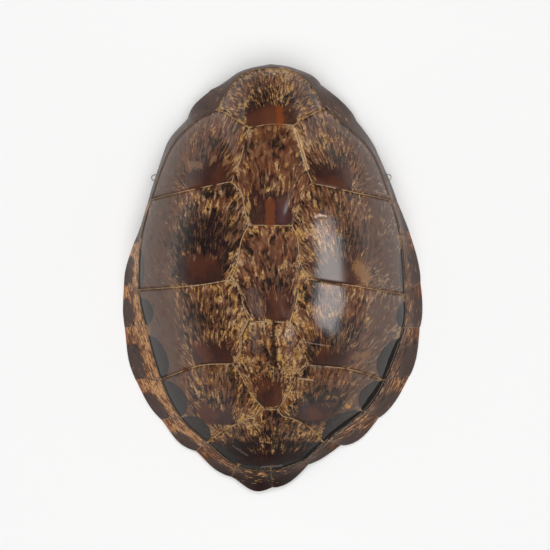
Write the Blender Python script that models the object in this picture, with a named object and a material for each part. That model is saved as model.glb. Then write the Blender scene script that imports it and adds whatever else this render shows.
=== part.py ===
"""A sea turtle's carapace, dried and varnished, with a small wire hanging loop on each side.

The carapace is one solid. Its outer face is laid out scute by scute: a dome of 5 vertebral and
8 costal scutes, which ends at the gutter, and a band of marginal scutes from the gutter to the rim.
Lengths are in millimetres, +Y points to the head, +X to the shell's right side, and the rim's two
long sides rest on z = 0. The meshes are made in metres.
"""

import math
from collections import namedtuple

import bmesh
import bpy
import numpy as np
from mathutils import Vector

MM = 0.001

# ---------------------------------------------------------------- driving dimensions

APEX = (-2.5, 25.0)             # top of the dome, seen from above
APEX_HEIGHT = 162.0
FULLNESS_FRONT = 0.94           # 0 gives a parabola, 1 a quarter circle
FULLNESS_SIDE = 0.92
FULLNESS_REAR = 0.55
KEEL_HEIGHT = 2.0
KEEL_HALF_WIDTH = 14.0

SHELL_THICKNESS = 5.0
RIM_LAND = 5.0                  # width of the rim's flat underside
LAND_FACES = (-120.0, 130.0)    # the land runs inward to this stretch of the midline
FOOT_DROP = 2.0                 # from the gutter down to the edge of the inner face behind it
BAND_BULGE_FRONT = 1.0          # the marginal band is slightly convex at the head
BAND_BULGE_REAR = -2.5          # and hollow from the middle to the tail
BULGE_TURNS = (100.0, 220.0)    # along Y, where one turns into the other

SEAM_STEP = 1.9                 # height of a scute's edge above its seam
SEAM_STEP_WIDTH = 2.5
SCUTE_CROWN = 1.5               # further rise towards the scute's middle
SCUTE_CROWN_WIDTH = 14.0

SEAM_SPACING = 14.0             # mesh spacing along the seams
RING_INSETS = (2.5, 8.0)        # rings at these distances inside a scute's seam
RING_FRACTIONS = (0.64, 0.3)    # then rings at these fractions of the way from its centre
RAY_STEPS = 60                  # steps along a line from seam to centre, to place the rings
SHARP_ANGLE = math.radians(35)  # an edge sharper than this is shaded as an edge
LARGEST_INSET_SHARE = 0.5       # no inset ring lies further in than this share of its line
LARGEST_END_SHARE = 0.4         # and no close stop on a seam further along it than this
BAND_LEVELS = (0.08, 0.25, 0.6, 1.0)    # rows of the band, from the gutter to the rim
# Rings of the hollow face: share of the way out from the apex, and whether the ring has
# half the points of the one before it.
HOLLOW_RINGS = ((0.93, False), (0.8, True), (0.6, False), (0.35, False), (0.15, True))

# Where the seams cross the gutter (foot of the dome) and the rim, from the head to the tail.
# The lobe is how far the marginal scute after this row bulges past its chord. Each row is named
# after the two scutes that meet there: M is a marginal, C a costal and V a vertebral scute.
Row = namedtuple("Row", "gutter_z rim_z left_gutter left_rim left_lobe"
                        " right_gutter right_rim right_lobe")
ROWS = (
    Row(78, 52, (-3, 287), (-3, 296), 1.2, (-3, 287), (-3, 296), 1.2),           # front
    Row(75, 46, (-40, 280), (-48, 285), -1.5, (30, 282), (33, 290), 4.2),        # nuchal_m1
    Row(67, 33, (-68, 248), (-86, 263), 5.0, (56, 261), (67, 270), 4.8),         # m1_m2
    Row(62, None, (-78, 232), None, None, (73, 233), None, None),                # v1_c1
    Row(56, 17, (-111, 213), (-119, 224), 4.0, (105, 207), (117, 222), 2.1),     # m2_m3
    Row(50, 6, (-143, 176), (-153, 178), 0.5, (139, 172), (147, 178), 1.2),      # m3_m4
    Row(46, 0, (-168, 109), (-176, 107), -1.5, (164, 108), (176, 109), 0.3),     # c1_c2
    Row(44, 0, (-182, 55), (-196, 50), 2.7, (177, 59), (193, 67), 3.0),          # m5_m6
    Row(43, 0, (-185, -15), (-210, -8), 2.0, (183, -22), (209, -4), 3.5),        # c2_c3
    Row(42, 0, (-176, -64), (-209, -69), 3.8, (181, -68), (208, -69), 4.4),      # m7_m8
    Row(40, 0, (-155, -139), (-194, -142), 3.6, (155, -140), (193, -138), 5.3),  # c3_c4
    Row(38, 2, (-128, -192), (-157, -199), 7.0, (126, -183), (150, -196), 9.0),  # m9_m10
    Row(36, 5, (-91, -227), (-108, -243), 4.8, (71, -227), (97, -234), 2.5),     # v5_c4
    Row(36, 8, (-49, -260), (-58, -279), 12.0, (44, -251), (51, -261), 7.0),     # m11_sc
    Row(38, 12, (-2, -266), (0, -293), None, (-2, -266), (0, -293), None),       # tail
)
LOBE_SKEW = 1.35                # above 1 the lobes lean towards the tail

# Ends of the seams on the dome, in plan. L is the shell's left side, R its right.
# v1 to v4 end the seams across the back, c1 to c3 those between the costal scutes.
DOME_JUNCTIONS = {
    "Lv1": (-31, 201), "Rv1": (28, 205), "Lc1": (-54, 129), "Rc1": (53, 127),
    "Lv2": (-31, 71), "Rv2": (26, 70), "Lc2": (-55, -1), "Rc2": (47, 0),
    "Lv3": (-31, -56), "Rv3": (23, -57), "Lc3": (-53, -113), "Rc3": (48, -115),
    "Lv4": (-11, -175), "Rv4": (7, -176),
}
# Points where a seam bends between its two ends.
SEAM_BENDS = {
    ("L3", "Lv1"): ((-64, 225), (-49, 214)), ("R3", "Rv1"): ((61, 227), (44, 216)),
    ("Lv1", "Rv1"): ((-2, 206),),
    ("Lv1", "Lc1"): ((-37, 180), (-43, 156)), ("Rv1", "Rc1"): ((37, 178), (43, 152)),
    ("Lc1", "Lv2"): ((-41, 113), (-36, 90)), ("Rc1", "Rv2"): ((39, 114), (34, 92)),
    ("Lv2", "Lc2"): ((-41, 50), (-46, 22)), ("Rv2", "Rc2"): ((33, 52), (37, 22)),
    ("Lc2", "Lv3"): ((-44, -12), (-38, -36)), ("Rc2", "Rv3"): ((36, -11), (31, -32)),
    ("Lv3", "Lc3"): ((-40, -72), (-43, -98)), ("Rv3", "Rc3"): ((32, -71), (37, -98)),
    ("Lc3", "Lv4"): ((-41, -131), (-30, -153)), ("Rc3", "Rv4"): ((33, -132), (21, -155)),
    ("Lv4", "L12"): ((-20, -184), (-39, -192), (-66, -207)),
    ("Rv4", "R12"): ((14, -185), (31, -191), (54, -206)),
    ("L6", "Lc1"): ((-111, 119),), ("R6", "Rc1"): ((111, 116),),
    ("L8", "Lc2"): ((-105, -9),), ("R8", "Rc2"): ((114, -10),),
    ("L10", "Lc3"): ((-99, -117),), ("R10", "Rc3"): ((103, -122),),
}
# The dome's scutes: the corners of each, anticlockwise from above, and the middle of its rings.
# A corner such as L6 is row 6's point on the left side of the gutter.
DOME_SCUTES = {
    "vertebral_1": (("R3", "L3", "Lv1", "Rv1"), (-2, 240)),
    "vertebral_2": (("Lv1", "Lc1", "Lv2", "Rv2", "Rc1", "Rv1"), (0, 128)),
    "vertebral_3": (("Lv2", "Lc2", "Lv3", "Rv3", "Rc2", "Rv2"), (-3, 0)),
    "vertebral_4": (("Lv3", "Lc3", "Lv4", "Rv4", "Rc3", "Rv3"), (-3, -112)),
    "vertebral_5": (("Lv4", "L12", "R12", "Rv4"), (-4, -225)),
    "left_costal_1": (("L3", "L6", "Lc1", "Lv1"), (-92, 165)),
    "left_costal_2": (("L6", "L8", "Lc2", "Lv2", "Lc1"), (-108, 50)),
    "left_costal_3": (("L8", "L10", "Lc3", "Lv3", "Lc2"), (-106, -68)),
    "left_costal_4": (("L10", "L12", "Lv4", "Lc3"), (-84, -163)),
    "right_costal_1": (("R6", "R3", "Rv1", "Rc1"), (90, 162)),
    "right_costal_2": (("R8", "R6", "Rc1", "Rv2", "Rc2"), (106, 48)),
    "right_costal_3": (("R10", "R8", "Rc2", "Rv3", "Rc3"), (104, -70)),
    "right_costal_4": (("R12", "R10", "Rc3", "Rv4"), (76, -166)),
}

# The hanging loops: the middle of each, and the bearing out of the shell in degrees from +X.
LOOPS = {
    "left_wire_loop": ((-163.2, 141.0, 13.0), 163.8),
    "right_wire_loop": ((160.4, 141.0, 13.0), 20.2),
}
LOOP_HALF_LENGTH = 6.4          # out of the shell
LOOP_HALF_WIDTH = 4.4
WIRE_RADIUS = 0.6
LOOP_SEGMENTS = 16
HOLE_RADIUS = 1.75
HOLE_FROM_MIDDLE = 3.75         # from the loop's middle to each of its two holes
HOLE_LENGTH = 22.0
HOLE_SEGMENTS = 12

HORN_BROWN = (0.085, 0.040, 0.018, 1.0)
WIRE_GREY = (0.55, 0.53, 0.50, 1.0)


# ---------------------------------------------------------------- curves

def catmull_rom(points, closed=False, steps=12):
    """A smooth curve through the points, with this many steps between neighbours."""
    pts = np.asarray(points, float)
    if closed:
        padded = np.vstack([pts[-1:], pts, pts[:2]])
    else:
        padded = np.vstack([2 * pts[0] - pts[1], pts, 2 * pts[-1] - pts[-2]])
    t = np.linspace(0, 1, steps, endpoint=False)[:, None]
    curve = []
    for a, b, c, d in zip(padded, padded[1:], padded[2:], padded[3:]):
        curve.append(0.5 * (2 * b + (c - a) * t + (2 * a - 5 * b + 4 * c - d) * t ** 2
                            + (3 * b - a - 3 * c + d) * t ** 3))
    if not closed:
        curve.append(pts[-1:])
    return np.vstack(curve)


def lengths_along(curve):
    """Distance from the curve's start to each of its points."""
    steps = np.linalg.norm(np.diff(curve, axis=0), axis=1)
    return np.concatenate([[0.0], np.cumsum(steps)])


def points_at(curve, distances):
    """Points of the curve at these distances from its start."""
    along = lengths_along(curve)
    return np.column_stack([np.interp(distances, along, axis) for axis in curve.T])


def graded_stops(length, spacing, insets):
    """Even stops along a length, with closer ones at the insets from both ends."""
    ends = [inset for inset in insets if inset < length * LARGEST_END_SHARE]
    first = ends[-1] if ends else 0.0
    count = max(1, round((length - 2 * first) / spacing))
    middle = np.linspace(first, length - first, count + 1)
    near = [0.0, *ends[:-1]] if ends else []
    return np.array([*near, *middle, *[length - inset for inset in reversed(near)]])


# ---------------------------------------------------------------- gutter, rim and dome

SIDE_ROWS = len(ROWS) - 1


def around(rows_value_left, rows_value_right):
    """Row values in one anticlockwise tour: head, left side, tail, right side."""
    return rows_value_left + rows_value_right[-2:0:-1]


GUTTER_JUNCTIONS = np.array(around(
    [(*row.left_gutter, row.gutter_z) for row in ROWS],
    [(*row.right_gutter, row.gutter_z) for row in ROWS]), float)
JUNCTION_COUNT = len(GUTTER_JUNCTIONS)
GUTTER_STEPS = 12
GUTTER_CURVE = catmull_rom(GUTTER_JUNCTIONS, closed=True, steps=GUTTER_STEPS)


def tour_number(corner):
    """L6 is junction 6 of the tour, and R6 the same row on its way back to the head."""
    row = int(corner[1:])
    return row if corner[0] == "L" else JUNCTION_COUNT - row


def from_apex(x, y):
    """Distance from the apex, and the bearing: 0 at the head, growing to the left."""
    dx, dy = x - APEX[0], y - APEX[1]
    return np.hypot(dx, dy), np.arctan2(-dx, dy)


def gutter_by_bearing(bearing):
    """Distance from the apex to the gutter, and its height, at each bearing."""
    reach, bearings = from_apex(GUTTER_CURVE[:, 0], GUTTER_CURVE[:, 1])
    order = np.argsort(bearings)
    knots = bearings[order]
    distance = np.interp(bearing, knots, reach[order], period=2 * math.pi)
    height = np.interp(bearing, knots, GUTTER_CURVE[order, 2], period=2 * math.pi)
    return distance, height


def dome_height(x, y):
    """Height of the bare dome, before the scutes' own relief."""
    distance, bearing = from_apex(x, y)
    gutter_distance, gutter_height = gutter_by_bearing(bearing)
    share = np.clip(distance / gutter_distance, 0.0, 1.0)
    ahead = np.cos(bearing)
    fullness = (FULLNESS_SIDE + (FULLNESS_FRONT - FULLNESS_SIDE) * np.maximum(ahead, 0) ** 2
                + (FULLNESS_REAR - FULLNESS_SIDE) * np.maximum(-ahead, 0) ** 2)
    edge = np.sqrt(1 - fullness ** 2)
    cap = (np.sqrt(1 - (fullness * share) ** 2) - edge) / (1 - edge)
    keel = KEEL_HEIGHT * np.exp(-((x - APEX[0]) / KEEL_HALF_WIDTH) ** 2) * (1 - share ** 2)
    return gutter_height + (APEX_HEIGHT - gutter_height) * cap + keel


def dome_normals(x, y):
    """Unit normals of the bare dome."""
    step = 1.0
    slope_x = (dome_height(x + step, y) - dome_height(x - step, y)) / (2 * step)
    slope_y = (dome_height(x, y + step) - dome_height(x, y - step)) / (2 * step)
    normal = np.column_stack([-slope_x, -slope_y, np.ones_like(slope_x)])
    return normal / np.linalg.norm(normal, axis=1)[:, None]


def scute_relief(distance):
    """How far a scute stands above its seam, at a distance from the seam."""
    step = SEAM_STEP * (1 - np.exp(-distance / SEAM_STEP_WIDTH))
    crown = SCUTE_CROWN * (1 - np.exp(-distance / SCUTE_CROWN_WIDTH))
    return step + crown


def distance_to_loop(points, loop):
    """Distance in plan from each point to a closed line."""
    starts, ends = loop, np.roll(loop, -1, axis=0)
    spans = ends - starts
    offsets = points[:, None, :] - starts[None, :, :]
    share = np.clip((offsets * spans).sum(2) / (spans ** 2).sum(1), 0, 1)
    return np.linalg.norm(offsets - share[..., None] * spans, axis=2).min(axis=1)


def inset_rings(loop, centre, insets):
    """Rings on the lines from a closed loop to its centre, each at its inset from the loop."""
    shares = np.linspace(0, 1, RAY_STEPS) ** 2
    rays = loop[:, None, :] + (centre - loop)[:, None, :] * shares[:, None]
    depth = distance_to_loop(rays.reshape(-1, 2), loop).reshape(len(loop), RAY_STEPS)
    depth = np.maximum.accumulate(depth, axis=1)
    rings = []
    for inset in insets:
        share = np.array([np.interp(inset, row, shares) for row in depth])
        share = np.minimum(share, LARGEST_INSET_SHARE)
        rings.append(loop + (centre - loop) * share[:, None])
    return rings


# ---------------------------------------------------------------- carapace

class ShellMesh:
    """Points in millimetres and the faces between them."""

    def __init__(self):
        self.points = []
        self.faces = []

    def add(self, points):
        """Adds the points, and returns their numbers."""
        first = len(self.points)
        self.points.extend(map(tuple, points))
        return list(range(first, len(self.points)))

    def strip(self, outer, inner, closed=True):
        """Quads between two rows of the same count, the second on the first one's left."""
        last = len(outer) if closed else len(outer) - 1
        for i in range(last):
            j = (i + 1) % len(outer)
            self.faces.append((outer[i], outer[j], inner[j], inner[i]))

    def zip_rows(self, outer, inner):
        """Triangles from a closed row to a shorter one inside it, both running the same way."""
        i = j = 0
        while i < len(outer) or j < len(inner):
            near, far = outer[i % len(outer)], inner[j % len(inner)]
            if (i + 0.5) / len(outer) <= (j + 0.5) / len(inner):
                self.faces.append((near, far, outer[(i + 1) % len(outer)]))
                i += 1
            else:
                self.faces.append((near, far, inner[(j + 1) % len(inner)]))
                j += 1

    def fan(self, loop, centre):
        for i, a in enumerate(loop):
            self.faces.append((a, loop[(i + 1) % len(loop)], centre))


class Carapace:
    """Lays out the outer face from shared seams, then the hollow face under it."""

    def __init__(self):
        self.mesh = ShellMesh()
        self.lay_gutter()
        self.seams = {}
        self.corners = {}
        for name, place in DOME_JUNCTIONS.items():
            self.corners[name] = self.add_on_dome(np.array([place], float))[0]
        for number, index in enumerate(self.gutter_at):
            row = number if number <= SIDE_ROWS else JUNCTION_COUNT - number
            side = "L" if number <= SIDE_ROWS else "R"
            self.corners[f"{side}{row}"] = self.gutter[index]
        for corners, centre in DOME_SCUTES.values():
            self.lay_dome_scute(corners, centre)
        rim = self.lay_band()
        self.lay_hollow(rim)

    # -- outer face

    def lay_gutter(self):
        """The closed row of points along the gutter, which dome and band share."""
        self.gutter_xyz = []
        self.gutter_at = []
        for number in range(JUNCTION_COUNT):
            first = number * GUTTER_STEPS
            stretch = np.vstack([GUTTER_CURVE, GUTTER_CURVE[:1]])[first:first + GUTTER_STEPS + 1]
            length = lengths_along(stretch)[-1]
            stops = graded_stops(length, SEAM_SPACING, RING_INSETS)[:-1]
            self.gutter_at.append(len(self.gutter_xyz))
            self.gutter_xyz.extend(points_at(stretch, stops))
        self.gutter_xyz = np.array(self.gutter_xyz)
        self.gutter = self.mesh.add(self.gutter_xyz)

    def add_on_dome(self, plan, relief=0.0):
        x, y = plan[:, 0], plan[:, 1]
        bare = np.column_stack([x, y, dome_height(x, y)])
        return self.mesh.add(bare + dome_normals(x, y) * np.reshape(relief, (-1, 1)))

    def gutter_between(self, start, end):
        """Point numbers along the gutter from one corner to the next, anticlockwise."""
        first = self.gutter_at[tour_number(start)]
        last = self.gutter_at[tour_number(end)]
        if last <= first:
            last += len(self.gutter)
        return [self.gutter[i % len(self.gutter)] for i in range(first, last + 1)]

    def seam_between(self, start, end):
        """Point numbers along the seam between two corners, both included."""
        if start[1:].isdigit() and end[1:].isdigit():
            return self.gutter_between(start, end)
        if (end, start) in self.seams:
            return self.seams[end, start][::-1]
        if (start, end) not in self.seams:
            bends = SEAM_BENDS.get((start, end)) or SEAM_BENDS.get((end, start), ())[::-1]
            ends = [np.array(self.mesh.points[self.corners[name]][:2]) for name in (start, end)]
            curve = catmull_rom([ends[0], *bends, ends[1]])
            length = lengths_along(curve)[-1]
            count = max(1, round(length / SEAM_SPACING))
            middle = points_at(curve, np.linspace(0, length, count + 1)[1:-1])
            inside = self.add_on_dome(middle) if len(middle) else []
            self.seams[start, end] = [self.corners[start], *inside, self.corners[end]]
        return self.seams[start, end]

    def lay_dome_scute(self, corners, centre):
        """Rings inside the scute's seams, which rise to its crown."""
        outer = []
        for start, end in zip(corners, corners[1:] + corners[:1]):
            outer += self.seam_between(start, end)[:-1]
        loop = np.array([self.mesh.points[i][:2] for i in outer])
        rings = inset_rings(loop, np.array(centre, float), RING_INSETS)
        innermost = rings[-1]
        rings += [centre + (innermost - centre) * share for share in RING_FRACTIONS]
        for plan in rings:
            relief = scute_relief(distance_to_loop(plan, loop))
            inner = self.add_on_dome(plan, relief)
            self.mesh.strip(outer, inner)
            outer = inner
        middle = np.array([centre], float)
        top = self.add_on_dome(middle, scute_relief(distance_to_loop(middle, loop)))
        self.mesh.fan(outer, top[0])

    def marginals(self):
        """Each marginal scute: its gutter stretch, its two ends on the rim, its lobe and skew."""
        tour = []
        seam_rows = [i for i, row in enumerate(ROWS) if row.left_rim]
        for a, b in zip(seam_rows, seam_rows[1:]):
            near, far = ROWS[a], ROWS[b]
            tour.append((f"L{a}", f"L{b}", (*near.left_rim, near.rim_z),
                         (*far.left_rim, far.rim_z), near.left_lobe, LOBE_SKEW))
        for a, b in reversed(list(zip(seam_rows, seam_rows[1:]))):
            near, far = ROWS[a], ROWS[b]
            start = f"R{b}" if b < SIDE_ROWS else f"L{b}"
            end = f"R{a}" if a else "L0"
            tour.append((start, end, (*far.right_rim, far.rim_z),
                         (*near.right_rim, near.rim_z), near.right_lobe, 1 / LOBE_SKEW))
        return tour

    def lay_band(self):
        """Marginal scutes from the gutter to the rim. Returns the rim's points."""
        rim_xyz, from_side = [], []
        for start, end, rim_start, rim_end, lobe, skew in self.marginals():
            stretch = np.array([self.mesh.points[i] for i in self.gutter_between(start, end)])
            along = lengths_along(stretch)
            share = along / along[-1]
            chord = np.subtract(rim_end, rim_start)
            outward = np.array([chord[1], -chord[0], 0.0]) / math.hypot(chord[0], chord[1])
            past_chord = lobe * np.sin(math.pi * share ** skew)
            edge = rim_start + share[:, None] * chord + past_chord[:, None] * outward
            rim_xyz.extend(edge[:-1])
            from_side.extend(np.minimum(along, along[-1] - along)[:-1])
        rim_xyz = np.array(rim_xyz)
        from_side = np.array(from_side)
        across = rim_xyz - self.gutter_xyz
        width = np.linalg.norm(across, axis=1)
        along = np.roll(rim_xyz, -1, axis=0) - np.roll(rim_xyz, 1, axis=0)
        normal = np.cross(along, -across)
        normal /= np.linalg.norm(normal, axis=1)[:, None]
        ahead = np.interp(self.gutter_xyz[:, 1], BULGE_TURNS, (0, 1))
        bulge = BAND_BULGE_REAR + (BAND_BULGE_FRONT - BAND_BULGE_REAR) * ahead
        outer = self.gutter
        for level in BAND_LEVELS:
            from_gutter = level * width
            relief = scute_relief(np.minimum(from_gutter, from_side)) * (1 - level ** 4)
            lift = relief + bulge * math.sin(math.pi * level)
            place = self.gutter_xyz + level * across + lift[:, None] * normal
            inner = self.mesh.add(place)
            self.mesh.strip(inner, outer)
            outer = inner
        self.rim_xyz = rim_xyz
        return outer

    # -- hollow face

    def lay_hollow(self, rim):
        """The rim's flat underside, then the inner face, as rings up to the apex."""
        spine_y = np.clip(self.rim_xyz[:, 1], *LAND_FACES)
        inward = np.column_stack([APEX[0] - self.rim_xyz[:, 0], spine_y - self.rim_xyz[:, 1]])
        inward /= np.linalg.norm(inward, axis=1)[:, None]
        land = self.rim_xyz + np.column_stack([inward, np.zeros(len(inward))]) * RIM_LAND
        outer = self.mesh.add(land)
        self.mesh.strip(outer, rim)
        foot = self.inner_foot(inward)
        middle = self.mesh.add(land * 0.5 + foot * 0.5)
        self.mesh.strip(middle, outer)
        outer = self.mesh.add(foot)
        self.mesh.strip(outer, middle)
        for share, thin_out in HOLLOW_RINGS:
            if thin_out:
                foot = foot[::2]
            plan = np.array(APEX) + (foot[:, :2] - np.array(APEX)) * share
            inner = self.add_on_dome(plan, -SHELL_THICKNESS)
            self.mesh.zip_rows(outer, inner)
            outer = inner
        top = self.add_on_dome(np.array([APEX]), -SHELL_THICKNESS)
        self.mesh.fan(outer[::-1], top[0])

    def inner_foot(self, inward):
        """The inner face's points behind the gutter."""
        offset = np.column_stack([inward * SHELL_THICKNESS, np.full(len(inward), -FOOT_DROP)])
        return self.gutter_xyz + offset


def make_object(name, mesh, collection, material):
    piece = bpy.data.objects.new(name, mesh)
    collection.objects.link(piece)
    mesh.materials.append(material)
    return piece


def make_carapace(collection, material):
    shell = Carapace()
    mesh = bpy.data.meshes.new("carapace")
    mesh.from_pydata([Vector(point) * MM for point in shell.mesh.points], [], shell.mesh.faces)
    work = bmesh.new()
    work.from_mesh(mesh)
    bmesh.ops.triangulate(work, faces=work.faces, quad_method="SHORT_EDGE")
    work.to_mesh(mesh)
    work.free()
    mesh.shade_smooth()
    mesh.set_sharp_from_angle(angle=SHARP_ANGLE)
    return make_object("carapace", mesh, collection, material)


# ---------------------------------------------------------------- hanging loops

def make_loop(name, collection, material):
    """A small oval ring of wire, level with the rim, laced through two holes."""
    centre, bearing = LOOPS[name]
    curve = bpy.data.curves.new(name, "CURVE")
    curve.dimensions = "3D"
    curve.bevel_depth = WIRE_RADIUS * MM
    curve.bevel_resolution = 2
    spline = curve.splines.new("POLY")
    spline.points.add(LOOP_SEGMENTS - 1)
    for i, point in enumerate(spline.points):
        angle = 2 * math.pi * i / LOOP_SEGMENTS
        x = LOOP_HALF_LENGTH * math.cos(angle)
        y = LOOP_HALF_WIDTH * math.sin(angle)
        point.co = (x * MM, y * MM, 0, 1)
    spline.use_cyclic_u = True
    loop = make_object(name, curve, collection, material)
    loop.location = Vector(centre) * MM
    loop.rotation_euler.z = math.radians(bearing)


def drill_loop_holes(name, carapace, cutters):
    """Two holes through the rim's wall, where the loop's long sides cross it."""
    centre, bearing = LOOPS[name]
    turn = math.radians(bearing)
    across = Vector((-math.sin(turn), math.cos(turn), 0))
    for number, end in enumerate((-1, 1)):
        place = Vector(centre) + across * end * HOLE_FROM_MIDDLE
        bpy.ops.mesh.primitive_cylinder_add(
            vertices=HOLE_SEGMENTS, radius=HOLE_RADIUS * MM, depth=HOLE_LENGTH * MM,
            location=place * MM, rotation=(0, math.pi / 2, turn))
        drill = bpy.context.object
        drill.name = f"{name}_hole_{number}"
        for collection in list(drill.users_collection):
            collection.objects.unlink(drill)
        cutters.objects.link(drill)
        drill.hide_render = True
        drill.display_type = "WIRE"
        cut = carapace.modifiers.new(drill.name, "BOOLEAN")
        cut.operation = "DIFFERENCE"
        cut.solver = "EXACT"
        cut.object = drill


# ---------------------------------------------------------------- whole object

def make_material(name, color, roughness, metallic):
    material = bpy.data.materials.new(name)
    material.use_nodes = True
    shader = material.node_tree.nodes["Principled BSDF"]
    shader.inputs["Base Color"].default_value = color
    shader.inputs["Roughness"].default_value = roughness
    shader.inputs["Metallic"].default_value = metallic
    return material


def main():
    for old in list(bpy.data.objects):
        bpy.data.objects.remove(old, do_unlink=True)
    shell = bpy.data.collections.new("turtle_shell")
    cutters = bpy.data.collections.new("cutters")
    for collection in (shell, cutters):
        bpy.context.scene.collection.children.link(collection)
    carapace = make_carapace(shell, make_material("varnished_horn", HORN_BROWN, 0.22, 0.0))
    wire = make_material("loop_wire", WIRE_GREY, 0.35, 1.0)
    for name in LOOPS:
        make_loop(name, shell, wire)
        drill_loop_holes(name, carapace, cutters)


main()
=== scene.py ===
"""The looks of the sea turtle's carapace: polished horn scutes, the bony hollow and the wire loops.

The shell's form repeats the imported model's own layout, with a finer mesh: a dome of scutes down to
the gutter, a band of marginal scutes out to the rim, and the hollow underneath. Each corner of each
face also carries where it lies in its scute, which the horn's material reads.
Lengths are in millimetres until a mesh is made, +Y is the head end and +X the shell's right side.
"""

import math
from collections import namedtuple

import bmesh
import bpy
import numpy as np
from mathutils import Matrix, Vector
from mathutils.kdtree import KDTree


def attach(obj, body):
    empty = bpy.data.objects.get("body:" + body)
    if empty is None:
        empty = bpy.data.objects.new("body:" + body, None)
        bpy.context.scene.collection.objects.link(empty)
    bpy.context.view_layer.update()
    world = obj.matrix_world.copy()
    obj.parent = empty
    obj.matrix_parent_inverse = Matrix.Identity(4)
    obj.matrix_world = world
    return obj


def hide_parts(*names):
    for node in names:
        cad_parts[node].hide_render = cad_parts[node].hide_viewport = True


MM = 0.001

# -------- form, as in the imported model

APEX = np.array([-2.5, 25.0])  # top of the dome, seen from above
APEX_HEIGHT = 162.0
FULLNESS_FRONT = 0.94  # 0 gives a parabola, 1 a quarter circle
FULLNESS_SIDE = 0.92
FULLNESS_REAR = 0.55
KEEL_HEIGHT = 2.0
KEEL_HALF_WIDTH = 14.0

SHELL_THICKNESS = 5.0
RIM_LAND = 5.0  # width of the rim's flat underside
LAND_FACES = (-120.0, 130.0)  # the land runs inward to this stretch of the midline
FOOT_DROP = 2.0  # from the gutter down to the edge of the inner face behind it
BAND_BULGE_FRONT = 1.0  # the marginal band is slightly convex at the head
BAND_BULGE_REAR = -2.5  # and hollow from the middle to the tail
BULGE_TURNS = (100.0, 220.0)  # along Y, where one turns into the other

SEAM_STEP = 1.0  # height of a scute's edge above its seam
SEAM_STEP_WIDTH = 1.3
SCUTE_CROWN = 1.1  # further rise towards the scute's middle
SCUTE_CROWN_WIDTH = 14.0
RIM_ROUNDING = 2.2  # radius of the rim's edge

SEAM_SPACING = 2.5  # mesh spacing along the seams
SEAM_INSETS = (0.6, 1.3, 2.2, 3.4)  # close points on both sides of where a seam ends
RING_INSETS = (0.6, 1.3, 2.2, 3.4, 5.0, 7.0, 9.5, 12.5)
RING_SPACING = 3.4  # further in, between rings
RAY_STEPS = 90  # steps along a line from seam to centre, to place the rings
LARGEST_INSET_SHARE = 0.5  # no inset ring lies further in than this share of its line
LARGEST_END_SHARE = 0.4  # and no close stop on a seam further along it than this
BAND_LEVELS = (0.02, 0.05, 0.09, 0.14, 0.2, 0.27, 0.35, 0.44, 0.53, 0.62, 0.71, 0.79, 0.86)
RIM_STEPS = 4  # points around the rim's rounded edge
FOOT_STEPS = 7  # rows from the rim's flat underside to the foot of the hollow
HOLLOW_SPACING = 5.2  # between the rings of the hollow face
RIDGE_FADE_RINGS = 6  # over these, in from the foot, the spine and the ribs rise

# Where the seams cross the gutter (foot of the dome) and the rim, from the head to the tail.
# The lobe is how far the marginal scute after this row bulges past its chord. Each row is named
# after the two scutes that meet there: M is a marginal, C a costal and V a vertebral scute.
Row = namedtuple("Row", "gutter_z rim_z left_gutter left_rim left_lobe"
                        " right_gutter right_rim right_lobe")
ROWS = (
    Row(78, 52, (-3, 287), (-3, 296), 1.2, (-3, 287), (-3, 296), 1.2),  # front
    Row(75, 46, (-40, 280), (-48, 285), -1.5, (30, 282), (33, 290), 4.2),  # nuchal_m1
    Row(67, 33, (-68, 248), (-86, 263), 5.0, (56, 261), (67, 270), 4.8),  # m1_m2
    Row(62, None, (-78, 232), None, None, (73, 233), None, None),  # v1_c1
    Row(56, 17, (-111, 213), (-119, 224), 4.0, (105, 207), (117, 222), 2.1),  # m2_m3
    Row(50, 6, (-143, 176), (-153, 178), 0.5, (139, 172), (147, 178), 1.2),  # m3_m4
    Row(46, 0, (-168, 109), (-176, 107), -1.5, (164, 108), (176, 109), 0.3),  # c1_c2
    Row(44, 0, (-182, 55), (-196, 50), 2.7, (177, 59), (193, 67), 3.0),  # m5_m6
    Row(43, 0, (-185, -15), (-210, -8), 2.0, (183, -22), (209, -4), 3.5),  # c2_c3
    Row(42, 0, (-176, -64), (-209, -69), 3.8, (181, -68), (208, -69), 4.4),  # m7_m8
    Row(40, 0, (-155, -139), (-194, -142), 3.6, (155, -140), (193, -138), 5.3),  # c3_c4
    Row(38, 2, (-128, -192), (-157, -199), 7.0, (126, -183), (150, -196), 9.0),  # m9_m10
    Row(36, 5, (-91, -227), (-108, -243), 4.8, (71, -227), (97, -234), 2.5),  # v5_c4
    Row(36, 8, (-49, -260), (-58, -279), 11.3, (44, -251), (51, -261), 7.0),  # m11_sc
    Row(38, 12, (-2, -266), (0, -293), None, (-2, -266), (0, -293), None),  # tail
)
LOBE_SKEW = 1.35  # above 1 the lobes lean towards the tail

# Ends of the seams on the dome, in plan. L is the shell's left side, R its right.
# v1 to v4 end the seams across the back, c1 to c3 those between the costal scutes.
DOME_JUNCTIONS = {
    "Lv1": (-31, 201), "Rv1": (28, 205), "Lc1": (-54, 129), "Rc1": (53, 127),
    "Lv2": (-31, 71), "Rv2": (26, 70), "Lc2": (-55, -1), "Rc2": (47, 0),
    "Lv3": (-31, -56), "Rv3": (23, -57), "Lc3": (-53, -113), "Rc3": (48, -115),
    "Lv4": (-11, -175), "Rv4": (7, -176),
}
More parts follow.
